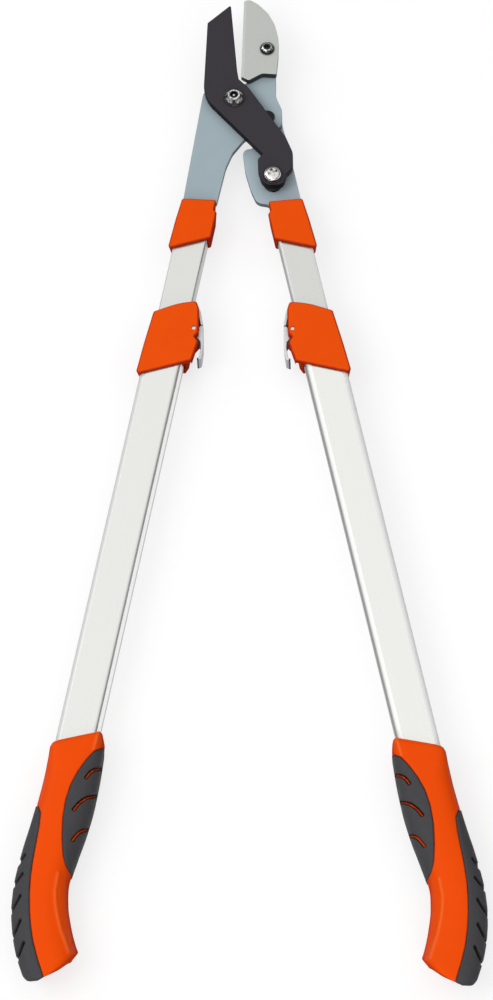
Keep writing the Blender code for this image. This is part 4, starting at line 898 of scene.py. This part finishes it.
def make_fulcrum():
    seat = LEFT_PLATE_Z[1] + FIT_GAP
    washer_top = RIGHT_PLATE_Z[0] - FIT_GAP
    peen_top = washer_top - WASHER_T - FIT_GAP
    profile = screw_head(4.6 * MM, seat + PIVOT_WASHER_T, [(-0.5, 0), (-0.12, -0.12), (0, -0.4),
                                                           (0, -0.8)])
    profile += [(FULCRUM_SHANK_R, seat), (FULCRUM_SHANK_R, peen_top)]
    profile += [(r * MM, peen_top - down * MM)
                for r, down in ((4.8, 0), (4.55, 0.78), (3.8, 1.209), (2.8, 1.3), (0, 1.3))]
    place("fulcrum_pin", lathe(profile, FULCRUM))
    ring("fulcrum_washer", FULCRUM, 7.0 * MM, FULCRUM_SHANK_R, washer_top - WASHER_T, washer_top)


def make_link():
    ring_t = 0.8 * MM
    ring_low = LEVER_Z[1] + FIT_GAP
    seat = ring_low + ring_t + FIT_GAP
    top = seat + 2.4 * MM
    washer_top = RIGHT_PLATE_Z[0] - FIT_GAP
    nut_top = washer_top - WASHER_T - FIT_GAP
    profile = screw_head(5.4 * MM, top, [(-2.4, -0.05), (-1.3, -0.4), (-0.5, -1.0), (-0.1, -1.6),
                                         (0, -2.0), (0, -2.4)])
    profile += shank(LINK_SHANK_R, seat, nut_top - NUT_T - 1.0 * MM, 0.6 * MM)
    wing, width = 3.2 * MM, 0.9 * MM
    arm = [(wing, -width), (wing, width), (width, width)]
    cross = recess([[spin(point, (0, 0), quarter * math.pi / 2)
                     for quarter in range(4) for point in arm]], top, 2.0 * MM)
    cross.transform(Matrix.Translation((*LINK_PIVOT, 0)) @ Matrix.Rotation(RECESS_TURN, 4, 'Z'))
    place("link_screw", cut(lathe(profile, LINK_PIVOT), cross))
    ring("link_head_washer", LINK_PIVOT, 6.5 * MM, LINK_SHANK_R, ring_low, ring_low + ring_t,
         sides=96, flutes=24, flute_depth=0.3 * MM, fluted=(0, 1, 2, 3))
    ring("link_spacer", LINK_PIVOT, 6.0 * MM, LINK_SHANK_R, RIGHT_PLATE_Z[1] + FIT_GAP,
         LEVER_Z[0] - FIT_GAP, 0.4 * MM, sides=128, flutes=20, flute_depth=0.5 * MM,
         fluted=(0, 1, 2, 3))
    ring("link_washer", LINK_PIVOT, 7.0 * MM, LINK_SHANK_R, washer_top - WASHER_T, washer_top)
    nut("link_nut", LINK_PIVOT, 10 * MM, nut_top, LINK_SHANK_R)


def make_blade_screw():
    seat = BLADE_Z[1] + FIT_GAP
    top = seat + 2.4 * MM
    nut_top = LEFT_PLATE_Z[0] - FIT_GAP
    profile = screw_head(4.6 * MM, top, [(-2.0, 0), (-1.75, -0.1), (-0.9, -0.7), (-0.3, -1.2),
                                         (-0.05, -1.7), (0, -2.4)])
    profile += shank(BLADE_SHANK_R, seat, nut_top - NUT_T - 0.8 * MM, 0.5 * MM)
    tips, roots = (circle(BLADE_SCREW_AT, radius, 12) for radius in (2.4 * MM, 1.5 * MM))
    star = [(roots if k % 2 else tips)[k] for k in range(12)]
    centre = PIVOT + Vector((*BLADE_SCREW_AT, 0))
    # A bright notched ring round the star socket: painted highlight over worn bare metal.
    worn = black_steel("blade_screw_steel", [(tuple(centre), 2.4, 4.0, 3.2, 6)])
    place("blade_screw", cut(lathe(profile, BLADE_SCREW_AT), recess([star], top, 1.6 * MM)),
          finish=worn)
    nut("blade_nut", BLADE_SCREW_AT, 10 * MM, nut_top, BLADE_SHANK_R)


# Handles

def slanted(station, outward):
    return station + outward * math.tan(SLANT)


def lean_end(mesh, side, start, half_h, lean, lean_per_mm):
    """Lean a slanted lower end, so that it draws back towards the head behind."""
    for vertex in mesh.vertices:
        if -vertex.co.y - side.shift > start:
            outward = side.sign * vertex.co.x
            vertex.co.y += (lean + lean_per_mm * outward / MM) * (half_h - vertex.co.z)


def make_tubes(side):
    hollow = (INNER_TUBE[0] - 2 * INNER_WALL, INNER_TUBE[1] - 2 * INNER_WALL, CAVITY_R)
    for node, loops, start, end, finish in (
            ("_inner_tube", [section(INNER_TUBE), section(hollow)], INNER_TUBE_TOP, INNER_TUBE_END,
             side.inner_metal),
            ("_outer_tube", [section(OUTER_TUBE), section(OUTER_TUBE, -OUTER_WALL)],
             OUTER_TUBE_TOP, OUTER_TUBE_END, side.outer_metal)):
        side.place(node, bar(loops, start + side.shift, end + side.shift), finish)


def make_sleeve(side):
    half_w = INNER_TUBE[0] / 2 + FIT_GAP + SLEEVE_WALL
    half_h = INNER_TUBE[1] / 2 + FIT_GAP + SLEEVE_WALL
    lip = 1.9 * MM
    step_at = SLEEVE_TOP + 8.0 * MM
    foot = SLEEVE_TOP + SLEEVE_LENGTH
    corners = [
        (half_w - lip, sleeve_top(half_w - lip), 1.7 * MM),
        (half_w - 0.8 * MM, SLEEVE_TOP + SLEEVE_LENGTH / 2, 30 * MM),
        (half_w, slanted(foot, half_w), SOFT_EDGE),
        (-half_w, slanted(foot, -half_w), SOFT_EDGE),
        (-half_w, step_at, SOFT_EDGE),
        (-half_w + lip, step_at - 1.8 * MM, 0.5 * MM),
        (-half_w + lip, sleeve_top(-half_w + lip), 1.7 * MM)]
    mesh = slab([side.outline(corners)], -half_h, half_h, SOFT_EDGE, 5)
    lean_end(mesh, side, SLEEVE_TOP + 0.6 * SLEEVE_LENGTH, half_h, *SLEEVE_LEAN)
    for vertex in mesh.vertices:
        if side.sign * vertex.co.x < 0:
            vertex.co.x += side.sign * SLEEVE_DRAFT * (half_h - vertex.co.z)
    start = INNER_TUBE_TOP - FIT_GAP + side.shift
    mouth_half = TANG_W / 2 + FIT_GAP
    mouth = side.rectangle(-mouth_half, mouth_half, SLEEVE_TOP - 10 * MM, INNER_TUBE_TOP + 4 * MM)
    made = cut(mesh, bar([section(INNER_TUBE, FIT_GAP)], start, start + 2 * SLEEVE_LENGTH),
               slab([mouth], side.plate_z[0] - FIT_GAP, side.plate_z[1] + FIT_GAP))
    side.place("_head_sleeve", made)


def make_collar(side):
    half_h = OUTER_TUBE[1] / 2 + FIT_GAP + COLLAR_WALL
    outer = OUTER_TUBE[0] / 2 + FIT_GAP
    foot = COLLAR_TOP + COLLAR_LENGTH
    corners = [
        (outer - 0.4 * MM, COLLAR_TOP + 5 * MM, COLLAR_CORNER_R),
        (outer + 1.1 * MM, COLLAR_TOP + 30 * MM, 60 * MM),
        (outer + COLLAR_WALL, slanted(foot, outer + COLLAR_WALL), COLLAR_CORNER_R),
        (COLLAR_FOOT_U, slanted(foot, COLLAR_FOOT_U), COLLAR_CORNER_R)]
    corners += [(u, COLLAR_TOP + below, radius) for u, below, radius in COLLAR_INNER_EDGE]
    mesh = slab([side.outline(corners)], -half_h, half_h, SOFT_EDGE, 5)
    lean_end(mesh, side, COLLAR_TOP + 0.8 * COLLAR_LENGTH, half_h, *COLLAR_LEAN)
    above, beyond = COLLAR_TOP - 20 * MM, COLLAR_TOP + 1.5 * COLLAR_LENGTH
    tools = [slab([bore(side.down(CLAMP_PIN_AT, CLAMP_PIN_U), CLAMP_PIN_R, 32)], -40 * MM, 40 * MM)]
    for tube, gap, start in ((INNER_TUBE, SLIDE_GAP, above),
                             (OUTER_TUBE, FIT_GAP, OUTER_TUBE_TOP - FIT_GAP + side.shift)):
        tools.append(bar([section(tube, gap)], start, beyond))
    half_shoe = SHOE_LENGTH / 2 + FIT_GAP
    shoe_z = SHOE_HALF_Z + FIT_GAP
    far_in = 2 * CLAMP_PIN_U
    slot = side.rectangle(far_in, CLAMP_FLOOR_U, above, beyond)
    window = side.rectangle(CLAMP_FLOOR_U - 2 * MM, CLAMP_FLOOR_U + 6 * MM,
                            CLAMP_PIN_AT - half_shoe, CLAMP_PIN_AT + half_shoe)
    under_ear = side.rectangle(far_in, COLLAR_EAR_U, COLLAR_TOP + COLLAR_EAR_FROM, beyond)
    lip = side.outline([(u, COLLAR_TOP + below, 0) for u, below in (
        (far_in, LIP_FROM), *COLLAR_LIP_EDGE, (COLLAR_LIP_EDGE[-1][0], 2 * COLLAR_LENGTH),
        (far_in, 2 * COLLAR_LENGTH))])
    for outline, low, high in ((slot, -CLAMP_SLOT_HALF_Z, CLAMP_SLOT_HALF_Z),
                               (window, -shoe_z, shoe_z),
                               (under_ear, -2 * half_h, CLAMP_SLOT_HALF_Z - FIT_GAP),
                               (lip, -2 * half_h, 0)):
        tools.append(slab([outline], low, high))
    side.place("_clamp_collar", cut(mesh, *tools))


def make_clamp(side):
    x, y = side.down(CLAMP_PIN_AT, CLAMP_PIN_U)
    pin_end = OUTER_TUBE[1] / 2 + FIT_GAP + COLLAR_WALL - 0.1 * MM
    dome = 0.25 * MM
    half_pin = [(0, pin_end), (CLAMP_PIN_R - 2 * dome, pin_end - 0.3 * dome),
                (CLAMP_PIN_R, pin_end - dome)]
    pin = lathe(half_pin + [(radius, -z) for radius, z in half_pin[::-1]], (x, y), 32)
    side.place("_lever_pin", pin)

    def sheet(edge, bevel, steps, *holes):
        outline = rounded([(x + side.sign * u, y - down, radius) for u, down, radius in edge])
        return slab([outline, *holes], -LEVER_HALF_Z, LEVER_HALF_Z, bevel, steps)

    lug = [(CLAMP_LUG_R * math.cos(angle), CLAMP_LUG_R * math.sin(angle), 0)
           for angle in map(math.radians, range(60, -61, -10))]
    lever = sheet(CLAMP_LEVER_EDGE + lug + CLAMP_LEVER_NOSE, 0.3 * MM, 3,
                  bore((x, y), CLAMP_PIN_R, 32))
    steel = lever_steel(side)
    side.place("_clamp_lever", lever, steel)
    side.place("_lever_spring", sheet(CLAMP_SPRING_EDGE, 0.2 * MM, 2), steel)


# Grips: sections from the grip's top, in millimetres, as (inner point), (outer point), how far
# each face stands over the tube's, squareness, lean of the section down the handle per height

GRIP_BODY = [
    ((-15.4, 4.8), (13.9, 17.4), 3.8, 6.0, 0.1),
    ((-16.2, 6.8), (14.4, 19.2), 4.4, 5.5, 0.1),
    ((-17.4, 18.0), (14.2, 27.0), 4.8, 4.0, 0.05),
    ((-18.5, 34.0), (14.2, 39.0), 5.2, 3.0, 0.0),
    ((-18.8, 50.0), (14.6, 54.0), 5.6, 2.8, 0.0),
    ((-18.0, 67.0), (15.5, 71.0), 5.8, 2.6, 0.0),
    ((-16.0, 85.0), (16.8, 88.5), 5.8, 2.5, 0.0),
    ((-14.5, 102.0), (17.3, 106.5), 5.6, 2.5, 0.0),
    ((-16.8, 117.0), (15.9, 124.0), 5.6, 2.5, 0.0),
    ((-21.2, 130.5), (12.0, 140.5), 5.8, 2.5, 0.12),
    ((-25.6, 141.0), (6.0, 156.0), 6.0, 2.6, 0.34),
    ((-28.6, 147.4), (-0.4, 167.0), 6.2, 2.8, 0.56),
]
GRIP_END = [
    GRIP_BODY[-1],
    ((-26.0, 152.8), (-4.0, 169.2), 6.0, 2.8, 0.58),
    ((-21.0, 158.8), (-9.0, 167.8), 5.0, 2.8, 0.60),
]
GRIP_AROUND = 200
GRIP_STEP = 0.6
GRIP_TOP_ROUND = 1.0
GRIP_END_ROUND = 1.0
PAD_PROUD, PAD_SUNK, PAD_BED = 0.5, 0.9, 1.4
PAD_T = 0.25 * MM
SLIT_FLOOR, INNER_SLIT_HALF, BACK_SLIT_HALF = 1.1, 0.95, 0.75
LIP_UP, LIP_LOWER = 1.35, 0.55
RIDGE_UP = 0.55

# The edges below, in millimetres from the grip's top, are drawn as the camera sees them: a point
# lower than SEEN_TOP shows this much further down and inward for each millimetre
SEEN_TOP, SEEN_DOWN, SEEN_INWARD = 14.0, 0.49, 0.10
INNER_PAD_EDGE = [
    (-18.5, 17.4, 1), (-13.7, 20.0, 4), (-9.8, 26.8, 10), (-6.5, 35.2, 14), (-4.0, 45, 20),
    (-3.2, 56, 20), (-4.0, 68.5, 20), (-6.2, 80.7, 20), (-9.2, 92.2, 20), (-12.3, 99, 10),
    (-17.0, 105.6, 1), (-60, 112, 0), (-60, 14, 0)]
BACK_PAD_EDGE = [
    (12.4, 62.6, 1.5), (9.9, 66.5, 3), (8.9, 75, 20), (8.3, 88, 30), (7.9, 98, 30), (7.0, 109, 30),
    (5.3, 120, 30), (3.2, 130, 30), (0.6, 139.5, 30), (-3.0, 150, 30), (-8.1, 161, 30),
    (-14.0, 172, 30), (-23, 188, 0), (20, 210, 0), (60, 180, 0), (60, 58, 0)]
INNER_SLITS = [
    [(-12.4, 38.8), (-14.0, 35.0), (-16, 32.8), (-18.3, 31.9), (-21, 31.6), (-40, 31.4)],
    [(-9.4, 61.2), (-11.3, 56.9), (-13.6, 53.8), (-15.3, 52.2), (-17.8, 50.8), (-21, 49.9),
     (-40, 49.0)],
    [(-12.7, 81.4), (-14.1, 77.9), (-15.6, 75.4), (-17.2, 73.8), (-19.5, 73.2), (-40, 73.8)]]
BACK_SLITS = [
    [(13.4, 95.8), (15.3, 100.8), (22, 116)],
    [(12.3, 108.3), (15.0, 115.0), (22, 131)],
    [(10.6, 122.6), (13.2, 132.3), (19, 152)],
    [(7.2, 138.4), (9.0, 148.1), (14, 172)],
    [(2.2, 152.4), (3.6, 162.3), (6, 178)]]
RIDGES = [
    [(-8.6, 104), (-9.0, 115.5), (-10.9, 123.3), (-13.4, 130.5), (-17.7, 140.4), (-21.6, 147.3),
     (-25.3, 154.2)],
    [(-13.5, 6), (-13.0, 19)]]


def smooth_between(knots, values, at):
    """A curve through the values that never overshoots them."""
    knots, values = np.asarray(knots, float), np.asarray(values, float)
    gaps = np.diff(knots)
    slopes = np.diff(values) / gaps
    tangents = np.zeros(len(knots))
    tangents[0], tangents[-1] = slopes[0], slopes[-1]
    for k in range(1, len(knots) - 1):
        if slopes[k - 1] * slopes[k] > 0:
            w1, w2 = 2 * gaps[k] + gaps[k - 1], gaps[k] + 2 * gaps[k - 1]
            tangents[k] = (w1 + w2) / (w1 / slopes[k - 1] + w2 / slopes[k])
    index = np.clip(np.searchsorted(knots, at, side='right') - 1, 0, len(knots) - 2)
    h = gaps[index]
    t = (at - knots[index]) / h
    return ((1 + 2 * t) * (1 - t) ** 2 * values[index] + t * (1 - t) ** 2 * h * tangents[index]
            + t * t * (3 - 2 * t) * values[index + 1] + t * t * (t - 1) * h * tangents[index + 1])


def even_section(squareness):
    """Points at even steps of angle round a unit superellipse of the given squareness."""
    angles = np.linspace(0, 2 * np.pi, 721)
    c, s = np.cos(angles), np.sin(angles)
    x = np.sign(c) * np.abs(c) ** (2 / squareness)
    z = np.sign(s) * np.abs(s) ** (2 / squareness)
    return x, z


def tracks_between(sections, step):
    """Smooth runs of all a section's values, at even steps along the grip."""
    table = np.array([(*a, *b, over, square, lean) for a, b, over, square, lean in sections], float)
    middles = (table[:, 0:2] + table[:, 2:4]) / 2
    reach = np.linalg.norm(np.diff(table[:, 0:4], axis=0), axis=1) / 2 + 1e-9
    reach = np.maximum(reach, np.linalg.norm(np.diff(middles, axis=0), axis=1))
    knots = np.concatenate([[0], np.cumsum(reach)])
    at = np.linspace(0, knots[-1], int(knots[-1] / step) + 2)
    return np.array([smooth_between(knots, column, at) for column in table.T]).T


def grip_grid():
    """The grip's surface before its pads, as rings of (outward, down, up) in millimetres."""
    body, end = tracks_between(GRIP_BODY, GRIP_STEP), tracks_between(GRIP_END, GRIP_STEP)
    skip = round(GRIP_END_ROUND / GRIP_STEP)
    corner = [(1 - t) ** 2 * body[-1 - skip] + 2 * t * (1 - t) * body[-1] + t * t * end[skip]
              for t in np.linspace(0, 1, 7)]
    rows = [(row, 0.0) for row in (*body[:-1 - skip], *corner, *end[skip + 1:])]
    top = []
    for angle in np.radians([90, 70, 50, 30, 12]):
        row = body[0].copy()
        row[[1, 3]] -= GRIP_TOP_ROUND * math.sin(angle)
        top.append((row, GRIP_TOP_ROUND * (1 - math.cos(angle))))
    rows = top + rows
    rings = np.zeros((len(rows), GRIP_AROUND, 3))
    for ring_points, ((iu, idn, ou, odn, thick, power, lean), inset) in zip(rings, rows):
        x, z = even_section(power)
        half_across = math.hypot(ou - iu, odn - idn) / 2
        x, z = x * (half_across - inset), z * (OUTER_TUBE[1] / MM / 2 + thick - inset)
        walked = np.concatenate([[0], np.cumsum(np.hypot(np.diff(x), np.diff(z)))])
        steps = np.arange(GRIP_AROUND) / GRIP_AROUND * walked[-1]
        x, z = np.interp(steps, walked, x), np.interp(steps, walked, z)
        way_u, way_d = (ou - iu) / (2 * half_across), (odn - idn) / (2 * half_across)
        ring_points[:, 0] = (iu + ou) / 2 + way_u * x
        ring_points[:, 1] = (idn + odn) / 2 + way_d * x + lean * z
        ring_points[:, 2] = z
    return rings


def grid_normals(rings):
    """Outward normals of the rings' points."""
    around = np.roll(rings, -1, 1) - np.roll(rings, 1, 1)
    along = np.gradient(rings, axis=0)
    normals = np.cross(around, along)
    normals /= np.linalg.norm(normals, axis=2, keepdims=True)
    outward = rings - rings.mean(1, keepdims=True)
    sign = np.sign((normals * outward).sum())
    return normals * sign


def segment_distance(points, a, b):
    ab = b - a
    t = np.clip(((points - a) @ ab) / (ab @ ab), 0, 1)
    return np.linalg.norm(points - a - t[:, None] * ab, axis=1)


def path_distance(points, path):
    path = np.asarray(path, float)
    return np.min([segment_distance(points, a, b) for a, b in zip(path, path[1:])], axis=0)


def depth_inside(points, loop):
    """Distance to a closed outline, positive inside it."""
    loop = np.asarray(loop, float)
    ends = np.roll(loop, -1, 0)
    distance = np.min([segment_distance(points, a, b) for a, b in zip(loop, ends)], axis=0)
    inside = np.zeros(len(points), bool)
    for (ax, ay), (bx, by) in zip(loop, ends):
        if ay == by:
            continue
        crosses = (ay > points[:, 1]) != (by > points[:, 1])
        inside ^= crosses & (points[:, 0] < (bx - ax) * (points[:, 1] - ay) / (by - ay) + ax)
    return np.where(inside, distance, -distance)


def ease(low, high, value):
    t = np.clip((value - low) / (high - low), 0, 1)
    return t * t * (3 - 2 * t)


def grid_mesh(points, keep, caps, mark, marked):
    """A mesh of the grid's kept cells, closed by caps at its two ends where asked. Its finish finds
    the marked values under the mark's name."""
    rows, around = points.shape[:2]
    work = bmesh.new()
    layer = work.verts.layers.float.new(mark)
    verts = {}

    def vertex(row, k):
        key = (row, k % around)
        if key not in verts:
            verts[key] = work.verts.new(points[key])
            verts[key][layer] = marked[key]
        return verts[key]

    for row in range(rows - 1):
        for k in range(around):
            if keep[row, k]:
                work.faces.new((vertex(row, k), vertex(row, k + 1), vertex(row + 1, k + 1),
                                vertex(row + 1, k)))
    if caps:
        for row in (0, rows - 1):
            work.faces.new([vertex(row, k) for k in range(around)])
    bmesh.ops.recalc_face_normals(work, faces=work.faces)
    mesh = finished(work)
    mesh.shade_smooth()
    return mesh


def make_grip(side, rings, normals):
    shape = rings.shape[:2]
    below = np.maximum(SEEN_TOP - np.abs(rings[:, :, 2]), 0)
    plan = np.stack([rings[:, :, 0] - SEEN_INWARD * below, rings[:, :, 1] + SEEN_DOWN * below], 2)
    plan = plan.reshape(-1, 2)

    def away_from(paths, lower=0.0):
        paths = [np.add(path, (0.0, lower)) for path in paths]
        return np.min([path_distance(plan, path) for path in paths], axis=0).reshape(shape)

    inner, back = (depth_inside(plan, rounded(edge)).reshape(shape)
                   for edge in (INNER_PAD_EDGE, BACK_PAD_EDGE))
    ridge = away_from(RIDGES)

    def in_world(height):
        points = rings + normals * height[:, :, None]
        points[:, :, 1] += (side.grip_at + side.shift) / MM
        turn = np.array(side.matrix)
        return points * (side.sign * MM, -MM, MM) @ turn[:3, :3].T + turn[:3, 3]

    everywhere = np.ones((shape[0] - 1, shape[1]), bool)
    bed = RIDGE_UP * np.exp(-(ridge / 1.1) ** 2)
    bed -= PAD_BED * np.maximum(ease(-0.5, 1.2, inner), ease(-0.5, 1.2, back))
    lit_lip = 1 - ease(0.35, 0.75, away_from(INNER_SLITS, LIP_LOWER))
    bed += LIP_UP * ease(0.2, 1.2, inner) * lit_lip
    # The ridge mark carries the painted highlight along the ridges.
    shell = grid_mesh(in_world(bed), everywhere, True, "ridge", np.exp(-(ridge / 0.8) ** 2))
    room = bar([section(OUTER_TUBE, FIT_GAP)], GRIP_AT - 50 * MM,
               OUTER_TUBE_END + FIT_GAP + side.shift)
    room.transform(side.matrix)
    place(side.name + "_grip_shell", tidy_mesh(cut(shell, room), 60), Matrix())

    for pad, depth, slits, half in (("_inner_pad", inner, INNER_SLITS, INNER_SLIT_HALF),
                                    ("_back_pad", back, BACK_SLITS, BACK_SLIT_HALF)):
        slit = away_from(slits)
        slitted = (1 - ease(half - 0.25, half + 0.25, slit)) * ease(0.0, 0.8, depth)
        height = -PAD_SUNK + (PAD_SUNK + PAD_PROUD) * ease(-0.4, 0.9, depth)
        height -= (SLIT_FLOOR + PAD_PROUD) * slitted
        cells = depth > -0.5
        keep = cells[:-1] & cells[1:] & np.roll(cells, -1, 1)[:-1] & np.roll(cells, -1, 1)[1:]
        # The slit mark carries the painted shade in the slits.
        mesh = grid_mesh(in_world(height), keep, False, "slit", slitted)
        piece = place(side.name + pad, mesh, Matrix())
        thick = piece.modifiers.new("thickness", 'SOLIDIFY')
        thick.thickness = PAD_T
        thick.offset = -1


# Studio

def make_light(name, at, size, power):
    light = bpy.data.lights.new(name, 'AREA')
    light.shape = 'RECTANGLE'
    light.size, light.size_y = size
    light.energy = power
    lamp = added(name, light)
    lamp.location = at
    lamp.rotation_euler = (-Vector(at)).to_track_quat('-Z', 'Y').to_euler()


def make_floor():
    """A pale floor that keeps its shadows, and glows as far as it is seen or mirrored."""
    work = bmesh.new()
    bmesh.ops.create_grid(work, x_segments=12, y_segments=12, size=FLOOR_REACH)
    mesh = finished(work)
    floor = added("floor", mesh)
    floor.location.z = CAD_BOX[0].z - FLOOR_GAP
    made = bpy.data.materials.new("floor")
    made.use_nodes = True
    tree = made.node_tree
    tree.nodes.clear()

    def result(kind, inputs=(), **settings):
        return add_node(tree, kind, inputs, **settings).outputs[0]

    path = add_node(tree, "ShaderNodeLightPath").outputs
    mirrored = result("ShaderNodeMath", {0: path["Is Glossy Ray"], 1: path["Is Transmission Ray"]},
                      operation='MAXIMUM')
    seen = result("ShaderNodeMath", {0: path["Is Camera Ray"], 1: mirrored}, operation='MAXIMUM')
    matt = result("ShaderNodeBsdfDiffuse", {"Color": (FLOOR_TONE, FLOOR_TONE, FLOOR_TONE, 1)})
    glow = result("ShaderNodeEmission", {"Strength": FLOOR_GLOW})
    both = result("ShaderNodeAddShader", {0: matt, 1: glow})
    choice = result("ShaderNodeMixShader", {0: seen, 1: matt, 2: both})
    add_node(tree, "ShaderNodeOutputMaterial", {0: choice})
    mesh.materials.append(made)


def make_world():
    """A pale sky, with a darker band near the horizon that metal edges reflect."""
    world = bpy.data.worlds.new("studio")
    bpy.context.scene.world = world
    world.use_nodes = True
    tree = world.node_tree
    where = add_node(tree, "ShaderNodeTexCoord").outputs["Generated"]
    height = add_node(tree, "ShaderNodeSeparateXYZ", {0: where}).outputs["Z"]
    ramp = add_node(tree, "ShaderNodeValToRGB", {0: height})
    stops = ramp.color_ramp.elements
    stops[0].position, stops[1].position = SKY_TONES[0][0], SKY_TONES[-1][0]
    for at, _ in SKY_TONES[1:-1]:
        stops.new(at)
    for stop, (_, tone) in zip(stops, SKY_TONES):
        stop.color = (tone, tone, tone, 1)
    back = tree.nodes["Background"].inputs
    tree.links.new(ramp.outputs["Color"], back["Color"])
    back["Strength"].default_value = WORLD_LIGHT


def make_camera():
    azimuth, elevation = math.radians(3), math.radians(60.5)
    flat = math.cos(elevation)
    back = Vector((math.sin(azimuth) * flat, -math.cos(azimuth) * flat, math.sin(elevation)))
    right = Vector((math.cos(azimuth), math.sin(azimuth), 0))
    up = back.cross(right)
    norm = math.hypot(right.y, up.y)
    c, s = up.y / norm, right.y / norm
    right, up = right * c - up * s, right * s + up * c
    at = PIVOT + Vector(CAMERA_TARGET) * MM + back * CAMERA_DISTANCE
    camera = bpy.data.cameras.new("camera")
    camera.sensor_width = 36
    camera.lens = camera.sensor_width * CAMERA_DISTANCE / (PIXELS_TALL * MM_PER_PIXEL * MM)
    camera.clip_end = 20
    seen = added("camera", camera)
    seen.matrix_world = (Matrix.Translation(at)
                         @ Matrix((right, up, back)).transposed().to_4x4())
    bpy.context.scene.camera = seen


FLOOR_REACH = 30.0
FLOOR_GAP = 0.2 * MM
FLOOR_GLOW = 0.72
FLOOR_TONE = 0.30
WORLD_LIGHT = 0.92
SKY_TONES = ((0.0, 0.10), (0.40, 0.14), (0.62, 0.80), (1.0, 1.0))
CAMERA_DISTANCE = 3.6
CAMERA_TARGET = (7.65, -291.09, 0)
PIXELS_TALL = 1000
MM_PER_PIXEL = 0.62

make_plates()
make_jaws()
make_main_pivot()
make_fulcrum()
make_link()
make_blade_screw()
GRIP_RINGS = grip_grid()
GRIP_NORMALS = grid_normals(GRIP_RINGS)
for handle in (LEFT, RIGHT):
    make_tubes(handle)
    make_sleeve(handle)
    make_collar(handle)
    make_clamp(handle)
    make_grip(handle, GRIP_RINGS, GRIP_NORMALS)

for name, kept in frame["nodes"].items():
    if not kept.hide_render:
        kept.data.materials.clear()
        kept.data.materials.append(FINISHES[SLOT_OF[name]])
        kept.modifiers.new("weld", 'WELD').merge_threshold = 10 * WELD

make_floor()
make_world()
make_light("key", (-1.6, -1.0, 2.4), (1.6, 1.6), 22)
make_light("front", (0.2, -2.6, 1.2), (2.4, 1.0), 20)
make_light("left", (-1.7, 1.0, 1.2), (1.0, 1.0), 8)
make_camera()
bpy.context.scene.view_settings.view_transform = 'Standard'

bpy.context.view_layer.update()
